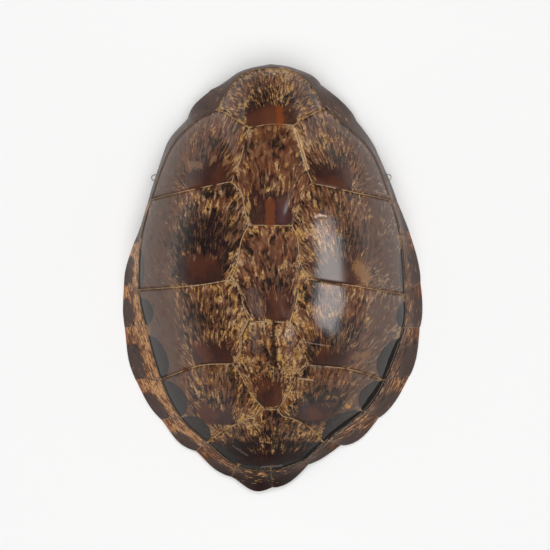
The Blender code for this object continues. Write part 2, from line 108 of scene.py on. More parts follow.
# Points where a seam bends between its two ends.
SEAM_BENDS = {
    "L3 Lv1": ((-64, 225), (-49, 214)), "R3 Rv1": ((61, 227), (44, 216)),
    "Lv1 Rv1": ((-2, 206),),
    "Lv1 Lc1": ((-37, 180), (-43, 156)), "Rv1 Rc1": ((37, 178), (43, 152)),
    "Lc1 Lv2": ((-41, 113), (-36, 90)), "Rc1 Rv2": ((39, 114), (34, 92)),
    "Lv2 Lc2": ((-41, 50), (-46, 22)), "Rv2 Rc2": ((33, 52), (37, 22)),
    "Lc2 Lv3": ((-44, -12), (-38, -36)), "Rc2 Rv3": ((36, -11), (31, -32)),
    "Lv3 Lc3": ((-40, -72), (-43, -98)), "Rv3 Rc3": ((32, -71), (37, -98)),
    "Lc3 Lv4": ((-41, -131), (-30, -153)), "Rc3 Rv4": ((33, -132), (21, -155)),
    "Lv4 L12": ((-20, -184), (-39, -192), (-66, -207)),
    "Rv4 R12": ((14, -185), (31, -191), (54, -206)),
    "L6 Lc1": ((-111, 119),), "R6 Rc1": ((111, 116),),
    "L8 Lc2": ((-105, -9),), "R8 Rc2": ((114, -10),),
    "L10 Lc3": ((-99, -117),), "R10 Rc3": ((103, -122),),
}

# The dome's scutes. corners run anticlockwise from above, and a corner such as L6 is row 6's point
# on the left side of the gutter. centre is the middle of the mesh rings. areola is the middle of
# the smooth patch that the scute grew from, and reach its half width and half length. The streaks
# fan from a point behind it.
# front and middle are the shares of gold streaks by the seams and nearer the areola, dark that of
# dark blotches, net that of a golden net, and warmth how orange the gold and the areola are.
Scute = namedtuple("Scute", "corners centre areola reach behind front middle dark net warmth")
DOME_SCUTES = {name: Scute(*row) for name, *row in (
    ("vertebral_1", "R3 L3 Lv1 Rv1", (-2, 240), (-1, 218), (34, 15),
     42, 0.5, 0.6, 0.62, 0.2, 0.45),
    ("vertebral_2", "Lv1 Lc1 Lv2 Rv2 Rc1 Rv1", (0, 128), (-2, 89), (28, 18),
     75, 0.3, 0.42, 0.52, 0.15, 0.75),
    ("vertebral_3", "Lv2 Lc2 Lv3 Rv3 Rc2 Rv2", (-3, 0), (9, -37), (17, 17),
     80, 0.36, 0.34, 0.6, 0.15, 0.8),
    ("vertebral_4", "Lv3 Lc3 Lv4 Rv4 Rc3 Rv3", (-3, -112), (-4, -154), (17, 19),
     60, 0.52, 0.5, 0.65, 0.85, 0.6),
    ("vertebral_5", "Lv4 L12 R12 Rv4", (-4, -225), (-4, -247), (58, 16),
     60, 0.44, 0.4, 1.0, 0.6, 0.5),
    ("left_costal_1", "L3 L6 Lc1 Lv1", (-92, 165), (-88, 138), (30, 18),
     42, 0.32, 0.2, 0.5, 0.1, 0.35),
    ("left_costal_2", "L6 L8 Lc2 Lv2 Lc1", (-108, 50), (-94, 13), (29, 20),
     60, 0.44, 0.2, 0.95, 0.25, 0.55),
    ("left_costal_3", "L8 L10 Lc3 Lv3 Lc2", (-106, -68), (-82, -99), (29, 16),
     60, 0.48, 0.34, 0.66, 0.2, 0.45),
    ("left_costal_4", "L10 L12 Lv4 Lc3", (-84, -163), (-76, -186), (26, 14),
     50, 0.42, 0.34, 0.72, 0.5, 0.5),
    ("right_costal_1", "R6 R3 Rv1 Rc1", (90, 162), (82, 137), (27, 17),
     42, 0.4, 0.4, 0.6, 0.3, 0.6),
    ("right_costal_2", "R8 R6 Rc1 Rv2 Rc2", (106, 48), (92, 11), (31, 19),
     42, 0.5, 0.34, 0.62, 0.4, 0.5),
    ("right_costal_3", "R10 R8 Rc2 Rv3 Rc3", (104, -70), (80, -106), (27, 12),
     42, 0.5, 0.36, 0.74, 0.4, 0.6),
    ("right_costal_4", "R12 R10 Rc3 Rv4", (76, -166), (58, -180), (27, 14),
     50, 0.42, 0.34, 0.9, 0.6, 0.6),
)}
AREOLA_SQUARENESS = 6.0  # 2 would give an oval areola
FLANK_FADE = (32.0, 66.0)  # mm out from the areola, where a costal's streaks thin out
FLANK_GOLD = (0.1, 0.6)  # share of them that is left there, on the left and the right
BACK_GOLD = 0.34  # extra gold beside the seams along the back
BACK_GOLD_WIDTH = 9.0

# The marginal scutes from the nuchal to the tail, (left, right): their share of gold, how far the
# smooth dark patches on the dome beside them reach up from the gutter, painted grey as partly their
# own colour and partly reflection, and the black line of painted shade along the gutter.
MARGINAL_GOLD = (
    (0.02, 0.02), (0.02, 0.04), (0.02, 0.03), (0.04, 0.08), (0.12, 0.26), (0.56, 0.38),
    (0.72, 0.42), (0.76, 0.42), (0.76, 0.40), (0.74, 0.38), (0.66, 0.36), (0.50, 0.32), (0.28, 0.24),
)
LENS_REACH = (
    (0, 0), (0, 0), (0, 0), (0, 0), (0, 0), (10, 8),
    (24, 18), (36, 28), (38, 38), (40, 36), (34, 30), (22, 20), (14, 14),
)
LENS_ROUNDNESS = 0.36  # 1 gives the patches a sine's arch, and less a flatter one
PRONG_GOLD = 1.4  # gold between those patches, as a share of the left marginals'
PRONG_LENGTH = 12.0  # how far up the dome it fades
# The share of a marginal's length where the patch beside it begins, and from which marginal on
# the second of them holds.
LENS_START = (0.2, 0.04)
LENS_START_REAR = 9
DITCH_SHADE_WIDTH = (
    (0, 0), (0, 0), (1, 0), (2, 0), (2, 1), (1, 1),
    (1, 2), (2, 8), (2, 15), (3, 15), (4, 12), (6, 11), (4, 7),
)
DITCH_SHADE_BOW = 0.55  # share of the black line's width that is lost where two marginals meet
DITCH_SHADE_OUTSIDE = 0.3  # its width on the marginals, as a share of that on the dome
MARGINAL_PATCH = (0.66, 0.86)  # middle of a marginal's dark patch: along the scute, and outward
MARGINAL_PATCH_REACH = (0.30, 0.38)
MARGINAL_PATCH_SQUARENESS = 3.0
BAND_RELIEF_FRONT = 0.4  # share of the scutes' relief on the smooth marginals at the head

# Single marks: a line in plan from one point to another, its half width and softness, its colour
# on a screen and its strength.
Stroke = namedtuple("Stroke", "start end half_width soft color strength")
STROKES = tuple(Stroke(*row) for row in (
    # orange and purple stripes in the areolas
    ((10, 207), (9, 226), 3.0, 4.0, (124, 62, 26), 0.75),
    ((-2, 207), (-4, 222), 6.0, 5.0, (92, 52, 34), 0.6),
    ((-3, 74), (-3, 100), 5.0, 3.0, (104, 54, 26), 0.75),
    ((14, 76), (14, 98), 6.0, 4.0, (76, 40, 44), 0.5),
    # worn seam between vertebral 2 and right costal 1, and a dark line beside it
    ((30, 199), (37, 179), 0.9, 2.6, (206, 172, 130), 0.75),
    ((37, 179), (46, 146), 0.9, 2.6, (206, 172, 130), 0.75),
    ((32, 196), (47, 144), 0.2, 1.0, (52, 36, 28), 0.7),
    # dark slot in vertebral 4: painted shade of a groove in the horn
    ((2, -57), (1, -90), 1.6, 1.2, (42, 24, 18), 0.85),
    ((1, -90), (3, -114), 3.0, 1.4, (40, 23, 17), 0.9),
    # pale lines on vertebral 5: painted highlights, on a small step and on its dark rear band
    ((-54, -229), (-34, -243), 0.3, 1.2, (112, 98, 88), 0.45),
    ((-15, -260), (13, -258), 0.5, 1.0, (108, 100, 94), 0.6),
    # cracks along seams
    ((60, -2), (92, -6), 0.6, 0.7, (30, 24, 22), 0.85),
    ((-30, -55), (-40, -76), 0.5, 0.8, (34, 25, 21), 0.8),
    ((-40, -76), (-40, -102), 0.5, 0.8, (34, 25, 21), 0.8),
    # small hole in the horn, drawn as a black dot of painted shade
    ((73.5, 233), (74.5, 233), 1.3, 0.7, (16, 13, 13), 1.0),
    # a chip, with its painted highlight and a dark mark beside it; painted highlights on small
    # bumps; a crack
    ((57, 82), (63, 84.5), 0.9, 1.6, (190, 162, 144), 0.7),
    ((63, 84.5), (71, 83), 0.3, 1.4, (214, 190, 174), 0.7),
    ((59, 79), (66, 80), 0.4, 1.4, (52, 36, 32), 0.6),
    # painted highlights along small bumps in the horn
    ((44, -84), (78, -90), 0.2, 1.0, (166, 144, 130), 0.4),
    ((35, -133), (55, -136), 0.4, 0.8, (176, 152, 130), 0.7),
    # a crack
    ((41, -28), (59, -30), 0.4, 0.8, (58, 42, 30), 0.7),
    # lone spots of ochre and purple
    ((103, -175), (105, -176), 1.6, 1.4, (172, 126, 58), 0.9),
    ((114, -104), (129, -103), 2.0, 5.0, (128, 92, 56), 0.6),
    ((115, 16), (124, 3), 5.0, 7.0, (134, 98, 62), 0.75),
    ((136, 11), (136, 8), 1.4, 1.6, (46, 30, 36), 0.85),
    ((133, -4), (130, -5), 1.0, 1.6, (46, 30, 36), 0.8),
    ((-110, 154), (-98, 152), 2.0, 6.0, (134, 102, 74), 0.5),
    # smooth grey regions on vertebrals 3 and 4: painted reflection
    ((-25, -20), (-20, -42), 5.0, 8.0, (82, 66, 64), 0.6),
    ((-24, -66), (-22, -94), 3.0, 7.0, (92, 78, 74), 0.4),
))

# -------- underside

SPINE_HEIGHT = 7.0  # the vertebrae's ridge along the hollow's middle
SPINE_HALF_WIDTH = 8.0
SPINE_ENDS = (-225.0, 250.0)
SPINE_TAPER = 50.0  # length over which each end runs out
VERTEBRA_LENGTH = 46.0
RIB_COUNT = 8
RIB_FIRST = 190.0  # Y of the first pair where it leaves the spine
RIB_LAST = -175.0
RIB_SPACING = (RIB_FIRST - RIB_LAST) / (RIB_COUNT - 1)
RIB_HEIGHT = 1.8
RIB_HALF_WIDTH = 7.0
RIB_SWEEP = 0.22  # how far a rib leans to the tail on its way out
RIB_START = (4, 30)  # mm out from the spine, where it rises

# -------- hanging loops

LOOPS = {
    "left_wire_loop": ((-163.2, 141.0, 13.0), 163.8),
    "right_wire_loop": ((160.4, 141.0, 13.0), 20.2),
}
LOOP_HALF_LENGTH = 6.4
LOOP_HALF_WIDTH = 4.4
LOOP_DENT = 0.025  # how far from a true oval, as a share of its size
LOOP_DENT_TURN = 0.6
WIRE_RADIUS = 0.6
LOOP_SEGMENTS = 72
WIRE_SIDES = 14
HOLE_RADIUS = 1.3
HOLE_FROM_MIDDLE = 3.75
HOLE_LENGTH = 22.0
HOLE_SEGMENTS = 20

# -------- stage

PHOTO_SIDE = 550  # the photograph's pixels, each way
CAMERA_PLACE = (0.0035, 0.00526, 2.4)  # in metres, like all places on the stage
MM_PER_PIXEL = 1.4035  # on the level of the rim
RIM_LEVEL = 0.008
SENSOR_WIDTH = 36.0

FLOOR_SIZE = 12.0
FLOOR_Z = -0.0004
FLOOR_COLOR = (0.86, 0.86, 0.86, 1.0)

# Light panels, in metres and watts: one broad and overhead, and a strip that the varnish mirrors.
Panel = namedtuple("Panel", "place target size power")
OVERHEAD = Panel((0, 0, 3.2), (0, 0, 0), (4.0, 4.0), 148.0)
RIGHT_STRIP = Panel((1.37, -0.3, 1.39), (0.07, -0.3, 0.15), (1.65, 0.71), 29.0)

WALL_COLOR = (1.0, 0.98, 0.96, 1.0)
WALL_FADE = (0.5, 0.05)  # a direction's Z where the wall ends, and where it is brightest
WALL_STRENGTH = 1.5
ROOM_STRENGTH = 0.08  # all around


# -------- curves

def catmull_rom(points, closed=False, steps=24):
    """A smooth curve through the points, with this many steps between neighbours."""
    pts = np.asarray(points, float)
    if closed:
        padded = np.vstack([pts[-1:], pts, pts[:2]])
    else:
        padded = np.vstack([2 * pts[0] - pts[1], pts, 2 * pts[-1] - pts[-2]])
    t = np.linspace(0, 1, steps, endpoint=False)[:, None]
    curve = []
    for a, b, c, d in zip(padded, padded[1:], padded[2:], padded[3:]):
        curve.append(0.5 * (2 * b + (c - a) * t + (2 * a - 5 * b + 4 * c - d) * t ** 2
                            + (3 * b - a - 3 * c + d) * t ** 3))
    if not closed:
        curve.append(pts[-1:])
    return np.vstack(curve)


def lengths_along(curve):
    """Distance from the curve's start to each of its points."""
    steps = np.linalg.norm(np.diff(curve, axis=0), axis=1)
    return np.concatenate([[0.0], np.cumsum(steps)])


def points_at(curve, distances):
    """Points of the curve at these distances from its start."""
    along = lengths_along(curve)
    return np.column_stack([np.interp(distances, along, axis) for axis in curve.T])


def graded_stops(length):
    """Even stops along a length, with closer ones at its two ends."""
    ends = [inset for inset in SEAM_INSETS if inset < length * LARGEST_END_SHARE]
    first = ends[-1] if ends else 0.0
    count = max(1, round((length - 2 * first) / SEAM_SPACING))
    middle = np.linspace(first, length - first, count + 1)
    near = [0.0, *ends[:-1]] if ends else []
    return np.array([*near, *middle, *[length - inset for inset in reversed(near)]])


def smooth_step(low, high, value):
    t = np.clip((value - low) / (high - low), 0, 1)
    return t * t * (3 - 2 * t)


# -------- gutter, rim and dome

SIDE_ROWS = len(ROWS) - 1


def around(left_values, right_values):
    """Row values in one anticlockwise tour: head, left side, tail, right side."""
    return left_values + right_values[-2:0:-1]


GUTTER_JUNCTIONS = np.array(around(
    [(*row.left_gutter, row.gutter_z) for row in ROWS],
    [(*row.right_gutter, row.gutter_z) for row in ROWS]), float)
JUNCTION_COUNT = len(GUTTER_JUNCTIONS)
GUTTER_STEPS = 24
GUTTER_CURVE = catmull_rom(GUTTER_JUNCTIONS, closed=True, steps=GUTTER_STEPS)


def tour_number(corner):
    """L6 is junction 6 of the tour, and R6 the same row on its way back to the head."""
    row = int(corner[1:])
    return row if corner[0] == "L" else JUNCTION_COUNT - row


def from_apex(x, y):
    """Distance from the apex, and the bearing: 0 at the head, growing to the left."""
    dx, dy = x - APEX[0], y - APEX[1]
    return np.hypot(dx, dy), np.arctan2(-dx, dy)


def gutter_by_bearing(bearing):
    """Distance from the apex to the gutter, and its height, at each bearing."""
    reach, bearings = from_apex(GUTTER_CURVE[:, 0], GUTTER_CURVE[:, 1])
    order = np.argsort(bearings)
    knots = bearings[order]
    distance = np.interp(bearing, knots, reach[order], period=2 * math.pi)
    height = np.interp(bearing, knots, GUTTER_CURVE[order, 2], period=2 * math.pi)
    return distance, height


def dome_height(x, y):
    """Height of the bare dome, before the scutes' own relief."""
    distance, bearing = from_apex(x, y)
    gutter_distance, gutter_height = gutter_by_bearing(bearing)
    share = np.clip(distance / gutter_distance, 0.0, 1.0)
    ahead = np.cos(bearing)
    fullness = (FULLNESS_SIDE + (FULLNESS_FRONT - FULLNESS_SIDE) * np.maximum(ahead, 0) ** 2
                + (FULLNESS_REAR - FULLNESS_SIDE) * np.maximum(-ahead, 0) ** 2)
    edge = np.sqrt(1 - fullness ** 2)
    cap = (np.sqrt(1 - (fullness * share) ** 2) - edge) / (1 - edge)
    keel = KEEL_HEIGHT * np.exp(-((x - APEX[0]) / KEEL_HALF_WIDTH) ** 2) * (1 - share ** 2)
    return gutter_height + (APEX_HEIGHT - gutter_height) * cap + keel


def dome_normals(x, y):
    """Unit normals of the bare dome."""
    step = 1.0
    slope_x = (dome_height(x + step, y) - dome_height(x - step, y)) / (2 * step)
    slope_y = (dome_height(x, y + step) - dome_height(x, y - step)) / (2 * step)
    normal = np.column_stack([-slope_x, -slope_y, np.ones_like(slope_x)])
    return normal / np.linalg.norm(normal, axis=1)[:, None]


def on_dome(plan, relief=0.0):
    """Points over the plan, lifted off the bare dome along its normals."""
    x, y = plan[:, 0], plan[:, 1]
    bare = np.column_stack([x, y, dome_height(x, y)])
    return bare + dome_normals(x, y) * np.reshape(relief, (-1, 1))


def scute_relief(distance):
    """How far a scute stands above its seam, at a distance from the seam."""
    step = SEAM_STEP * (1 - np.exp(-distance / SEAM_STEP_WIDTH))
    crown = SCUTE_CROWN * (1 - np.exp(-distance / SCUTE_CROWN_WIDTH))
    return step + crown


def distance_to_loop(points, loop):
    """Distance in plan from each point to a closed line."""
    starts, ends = loop, np.roll(loop, -1, axis=0)
    spans = ends - starts
    nearest = np.full(len(points), np.inf)
    for start, span in zip(starts, spans):
        offset = points - start
        share = np.clip((offset @ span) / (span @ span), 0, 1)
        gap = np.linalg.norm(offset - share[:, None] * span, axis=1)
        nearest = np.minimum(nearest, gap)
    return nearest


def inset_rings(loop, centre, insets):
    """Rings on the lines from a closed loop to its centre, each at its inset from the loop."""
    shares = np.linspace(0, 1, RAY_STEPS) ** 2
    rays = loop[:, None, :] + (centre - loop)[:, None, :] * shares[:, None]
    depth = distance_to_loop(rays.reshape(-1, 2), loop).reshape(len(loop), RAY_STEPS)
    depth = np.maximum.accumulate(depth, axis=1)
    rings = []
    for inset in insets:
        share = np.array([np.interp(inset, row, shares) for row in depth])
        share = np.minimum(share, LARGEST_INSET_SHARE)
        rings.append(loop + (centre - loop) * share[:, None])
    return rings


def bone_relief(plan):
    """The spine's ridge and the ribs, which stand down from the hollow's ceiling."""
    x, y = plan[:, 0] - APEX[0], plan[:, 1]
    rear, front = SPINE_ENDS
    ends = (smooth_step(rear, rear + SPINE_TAPER, y)
            * smooth_step(front, front - SPINE_TAPER, y))
    waist = 0.85 + 0.15 * np.cos(2 * math.pi * y / VERTEBRA_LENGTH)
    spine = SPINE_HEIGHT * waist * np.exp(-(x / SPINE_HALF_WIDTH) ** 2) * ends
    along = (RIB_FIRST - (y + RIB_SWEEP * np.abs(x))) / RIB_SPACING
    offset = (along - np.clip(np.round(along), 0, RIB_COUNT - 1)) * RIB_SPACING
    rib = RIB_HEIGHT * np.exp(-(offset / RIB_HALF_WIDTH) ** 2)
    return spine + rib * smooth_step(*RIB_START, np.abs(x))


# -------- the carapace's mesh

Marginal = namedtuple("Marginal", "start end rim_start rim_end lobe skew order side")


def marginal_scutes():
    """The marginal scutes anticlockwise from the head, with their ends on the gutter and the rim.

    order counts from the head on each side, and side is 0 on the left and 1 on the right.
    """
    seam_rows = [i for i, row in enumerate(ROWS) if row.left_rim]
    left, right = [], []
    for order, (a, b) in enumerate(zip(seam_rows, seam_rows[1:])):
        near, far = ROWS[a], ROWS[b]
        left.append(Marginal(
            f"L{a}", f"L{b}", (*near.left_rim, near.rim_z), (*far.left_rim, far.rim_z),
            near.left_lobe, LOBE_SKEW, order, 0))
        right.append(Marginal(
            f"R{b}" if b < SIDE_ROWS else f"L{b}", f"R{a}" if a else "L0",
            (*far.right_rim, far.rim_z), (*near.right_rim, near.rim_z),
            near.right_lobe, 1 / LOBE_SKEW, order, 1))
    return left + right[::-1]


class ShellMesh:
    """Points in millimetres, the faces between them, and the patch that each face belongs to."""

    def __init__(self):
        self.points = []
        self.faces = []
        self.patches = []
        self.patch = None

    def add(self, points):
        """Adds the points, and returns their numbers."""
        first = len(self.points)
        self.points.extend(map(tuple, points))
        return list(range(first, len(self.points)))

    def face(self, *corners):
        self.faces.append(corners)
        self.patches.append(self.patch)

    def strip(self, outer, inner):
        """Quads between two closed rows of the same count, the second on the first one's left."""
        for i in range(len(outer)):
            j = (i + 1) % len(outer)
            self.face(outer[i], outer[j], inner[j], inner[i])

    def zip_rows(self, outer, inner):
        """Triangles from a closed row to a shorter one inside it, both running the same way."""
        i = j = 0
        while i < len(outer) or j < len(inner):
            near, far = outer[i % len(outer)], inner[j % len(inner)]
            if (i + 0.5) / len(outer) <= (j + 0.5) / len(inner):
                self.face(near, far, outer[(i + 1) % len(outer)])
                i += 1
            else:
                self.face(near, far, inner[(j + 1) % len(inner)])
                j += 1

    def fan(self, loop, centre):
        """Triangles from a closed row to one point inside it."""
        for i, a in enumerate(loop):
            self.face(a, loop[(i + 1) % len(loop)], centre)


class Carapace:
    """Lays out the outer face from shared seams, then the hollow face under it."""

    def __init__(self):
        self.mesh = ShellMesh()
        self.lay_gutter()
        self.seams = {}
        self.loops = {}
        self.corners = {}
        for name, place in DOME_JUNCTIONS.items():
            self.corners[name] = self.mesh.add(on_dome(np.array([place], float)))[0]
        for number, index in enumerate(self.gutter_at):
            row = number if number <= SIDE_ROWS else JUNCTION_COUNT - number
            side = "L" if number <= SIDE_ROWS else "R"
            self.corners[f"{side}{row}"] = self.gutter[index]
        for name, scute in DOME_SCUTES.items():
            self.mesh.patch = name
            self.lay_dome_scute(name, scute)
        self.marginals = marginal_scutes()
        rim = self.lay_band()
        self.mesh.patch = "hollow"
        self.lay_hollow(rim)

    # -- outer face

    def lay_gutter(self):
        """The closed row of points along the gutter, which dome and band share."""
        self.gutter_xyz = []
        self.gutter_at = []
        for number in range(JUNCTION_COUNT):
            first = number * GUTTER_STEPS
            stretch = np.vstack([GUTTER_CURVE, GUTTER_CURVE[:1]])[first:first + GUTTER_STEPS + 1]
            stops = graded_stops(lengths_along(stretch)[-1])[:-1]
            self.gutter_at.append(len(self.gutter_xyz))
            self.gutter_xyz.extend(points_at(stretch, stops))
        self.gutter_xyz = np.array(self.gutter_xyz)
        self.gutter = self.mesh.add(self.gutter_xyz)

    def gutter_between(self, start, end):
        """Point numbers along the gutter from one corner to the next, anticlockwise."""
        first = self.gutter_at[tour_number(start)]
        last = self.gutter_at[tour_number(end)]
        if last <= first:
            last += len(self.gutter)
        return [self.gutter[i % len(self.gutter)] for i in range(first, last + 1)]

    def seam_between(self, start, end):
        """Point numbers along the seam between two corners, both included."""
        if start[1:].isdigit() and end[1:].isdigit():
            return self.gutter_between(start, end)
        if (end, start) in self.seams:
            return self.seams[end, start][::-1]
        if (start, end) not in self.seams:
            bends = SEAM_BENDS.get(f"{start} {end}") or SEAM_BENDS.get(f"{end} {start}", ())[::-1]
            ends = [np.array(self.mesh.points[self.corners[name]][:2]) for name in (start, end)]
            curve = catmull_rom([ends[0], *bends, ends[1]])
            length = lengths_along(curve)[-1]
            count = max(1, round(length / SEAM_SPACING))
            middle = points_at(curve, np.linspace(0, length, count + 1)[1:-1])
            inside = self.mesh.add(on_dome(middle)) if len(middle) else []
            self.seams[start, end] = [self.corners[start], *inside, self.corners[end]]
        return self.seams[start, end]

    def lay_dome_scute(self, name, scute):
        """Rings inside the scute's seams, which rise to its crown."""
        outer = []
        corners = scute.corners.split()
        for start, end in zip(corners, corners[1:] + corners[:1]):
            outer += self.seam_between(start, end)[:-1]
        loop = np.array([self.mesh.points[i][:2] for i in outer])
        self.loops[name] = loop
        centre = np.array(scute.centre, float)
        rings = inset_rings(loop, centre, RING_INSETS)
        innermost = rings[-1]
        reach = np.linalg.norm(innermost - centre, axis=1).max()
        count = max(2, round(reach / RING_SPACING))
        rings += [centre + (innermost - centre) * (1 - i / count) for i in range(1, count)]
        for plan in rings:
            inner = self.mesh.add(on_dome(plan, scute_relief(distance_to_loop(plan, loop))))
            self.mesh.strip(outer, inner)
            outer = inner
        middle = centre[None, :]
        top = self.mesh.add(on_dome(middle, scute_relief(distance_to_loop(middle, loop))))
        self.mesh.fan(outer, top[0])

    def lay_rim(self):
        """A point of the rim for each of the gutter's, and where it lies along its scute."""
        rim_xyz, along_scute, scute_length, scute_number = [], [], [], []
        for number, scute in enumerate(self.marginals):
            gutter = self.gutter_between(scute.start, scute.end)
            along = lengths_along(np.array([self.mesh.points[i] for i in gutter]))
            share = along / along[-1]
            chord = np.subtract(scute.rim_end, scute.rim_start)
            outward = np.array([chord[1], -chord[0], 0.0]) / math.hypot(chord[0], chord[1])
            past_chord = scute.lobe * np.sin(math.pi * share ** scute.skew)
            edge = scute.rim_start + share[:, None] * chord + past_chord[:, None] * outward
            rim_xyz.extend(edge[:-1])
            along_scute.extend(along[:-1])
            scute_length.extend([along[-1]] * (len(along) - 1))
            scute_number.extend([number] * (len(along) - 1))
        self.rim_xyz = np.array(rim_xyz)
        self.along_scute = np.array(along_scute)
        self.scute_length = np.array(scute_length)
        self.scute_number = np.array(scute_number)

    def lay_band(self):
        """Marginal scutes from the gutter over the rim's edge. Returns the last row's points."""
        self.lay_rim()
        from_side = np.minimum(self.along_scute, self.scute_length - self.along_scute)
        across = self.rim_xyz - self.gutter_xyz
        self.band_width = np.linalg.norm(across, axis=1)
        along = np.roll(self.rim_xyz, -1, axis=0) - np.roll(self.rim_xyz, 1, axis=0)
        normal = np.cross(along, -across)
        normal /= np.linalg.norm(normal, axis=1)[:, None]
        ahead = np.interp(self.gutter_xyz[:, 1], BULGE_TURNS, (0, 1))
        bulge = BAND_BULGE_REAR + (BAND_BULGE_FRONT - BAND_BULGE_REAR) * ahead
        height = 1 + (BAND_RELIEF_FRONT - 1) * ahead
        self.band_first = len(self.mesh.points)
        self.band_levels = [0.0]
        rows = []
        for level in BAND_LEVELS:
            from_gutter = level * self.band_width
            relief = scute_relief(np.minimum(from_gutter, from_side)) * (1 - level ** 4)
            lift = relief * height + bulge * math.sin(math.pi * level)
            rows.append(self.gutter_xyz + level * across + lift[:, None] * normal)
            self.band_levels.append(level)
        rows += self.rounded_rim(rows[-1])
        outer = self.gutter
        for place in rows:
            inner = self.mesh.add(place)
            for i in range(len(outer)):
                self.mesh.patch = f"marginal_{self.scute_number[i]}"
                j = (i + 1) % len(outer)
                self.mesh.face(inner[i], inner[j], outer[j], outer[i])
            outer = inner
        return outer

    def rounded_rim(self, last_row):
        """Rows that turn from the band's last level over the rim's edge onto its underside."""
        inward = self.inward()
        over = last_row - self.rim_xyz
        over /= np.linalg.norm(over, axis=1)[:, None]
        under = np.column_stack([inward, np.zeros(len(inward))])
        rows = []
        for i in range(RIM_STEPS + 1):
            t = i / RIM_STEPS
            start = self.rim_xyz + over * RIM_ROUNDING
            end = self.rim_xyz + under * RIM_ROUNDING
            rows.append((1 - t) ** 2 * start + 2 * t * (1 - t) * self.rim_xyz + t ** 2 * end)
            self.band_levels.append(1.0)
        return rows

    def inward(self):
        """Unit directions in plan from the rim to the hollow's middle."""
        spine_y = np.clip(self.rim_xyz[:, 1], *LAND_FACES)
        inward = np.column_stack([APEX[0] - self.rim_xyz[:, 0], spine_y - self.rim_xyz[:, 1]])
        return inward / np.linalg.norm(inward, axis=1)[:, None]

    # -- hollow face

    def lay_hollow(self, rim):
        """The rim's flat underside, then the inner face, as rings up to the apex."""
        inward = self.inward()
        land = self.rim_xyz + np.column_stack([inward, np.zeros(len(inward))]) * RIM_LAND
        outer = self.mesh.add(land)
        self.mesh.strip(outer, rim)
        offset = np.column_stack([inward * SHELL_THICKNESS, np.full(len(inward), -FOOT_DROP)])
        foot = self.gutter_xyz + offset
        for share in np.linspace(0, 1, FOOT_STEPS + 1)[1:]:
            row = self.mesh.add(land * (1 - share) + foot * share)
            self.mesh.strip(row, outer)
            outer = row
        reach = np.linalg.norm(foot[:, :2] - APEX, axis=1).max()
        count = round(reach / HOLLOW_SPACING)
        halve_at = (1, count // 2, count * 3 // 4, count * 7 // 8)
        for i in range(1, count):
            if i in halve_at:
                foot = foot[::2]
            plan = APEX + (foot[:, :2] - APEX) * (1 - i / count)
            fade = min(1.0, i / RIDGE_FADE_RINGS)
            inner = self.mesh.add(on_dome(plan, -SHELL_THICKNESS - fade * bone_relief(plan)))
            if len(inner) == len(outer):
                self.mesh.strip(inner, outer)
            else:
                self.mesh.zip_rows(outer, inner)
            outer = inner
        top = APEX[None, :]
        top = self.mesh.add(on_dome(top, -SHELL_THICKNESS - bone_relief(top)))
        self.mesh.fan(outer[::-1], top[0])


# -------- where a corner lies in its scute

LAYERS = ("flow", "form", "tone", "extra", "place")
TONE = 3 * LAYERS.index("tone")  # column of the tone's first number
DOME_SEED_STEP = 7.3  # the scutes' numbers set their noise apart
MARGINAL_SEED = 150.0  # the marginals' numbers are all over this
MARGINAL_SEED_FIRST = 190.0
MARGINAL_SEED_STEP = 5.1
SPREAD = 90.0  # mm of a streak noise's width per radian of bearing
MARGINAL_SPLAY = 0.18  # how far a marginal's streaks run outward on their way back
MARGINAL_RAGGEDNESS = 0.3
MARGINAL_DARK = 0.35
MARGINAL_PATCH_FADE = (0.9, 1.3)  # where a marginal's gold sets in, and 1 is its patch's edge
MARGINAL_WARMTH = (0.5, 0.85)  # shares of gold that give no warmth, and all of it
NO_LENS = -30.0
OUTER_GROWTH = (0.32, 0.72)  # where the streaks by the seams take over, from areola 0 to seam 1
OUTER_CLEARER = 0.45  # share of the dark blotches that is missing there
FLANK_CLEARER = 0.6  # and on the flanks
RAGGED_FRONT = (0.1, 0.7)  # where an areola's edge gets ragged, from its middle 0 to its front 1
TINY = 1e-6


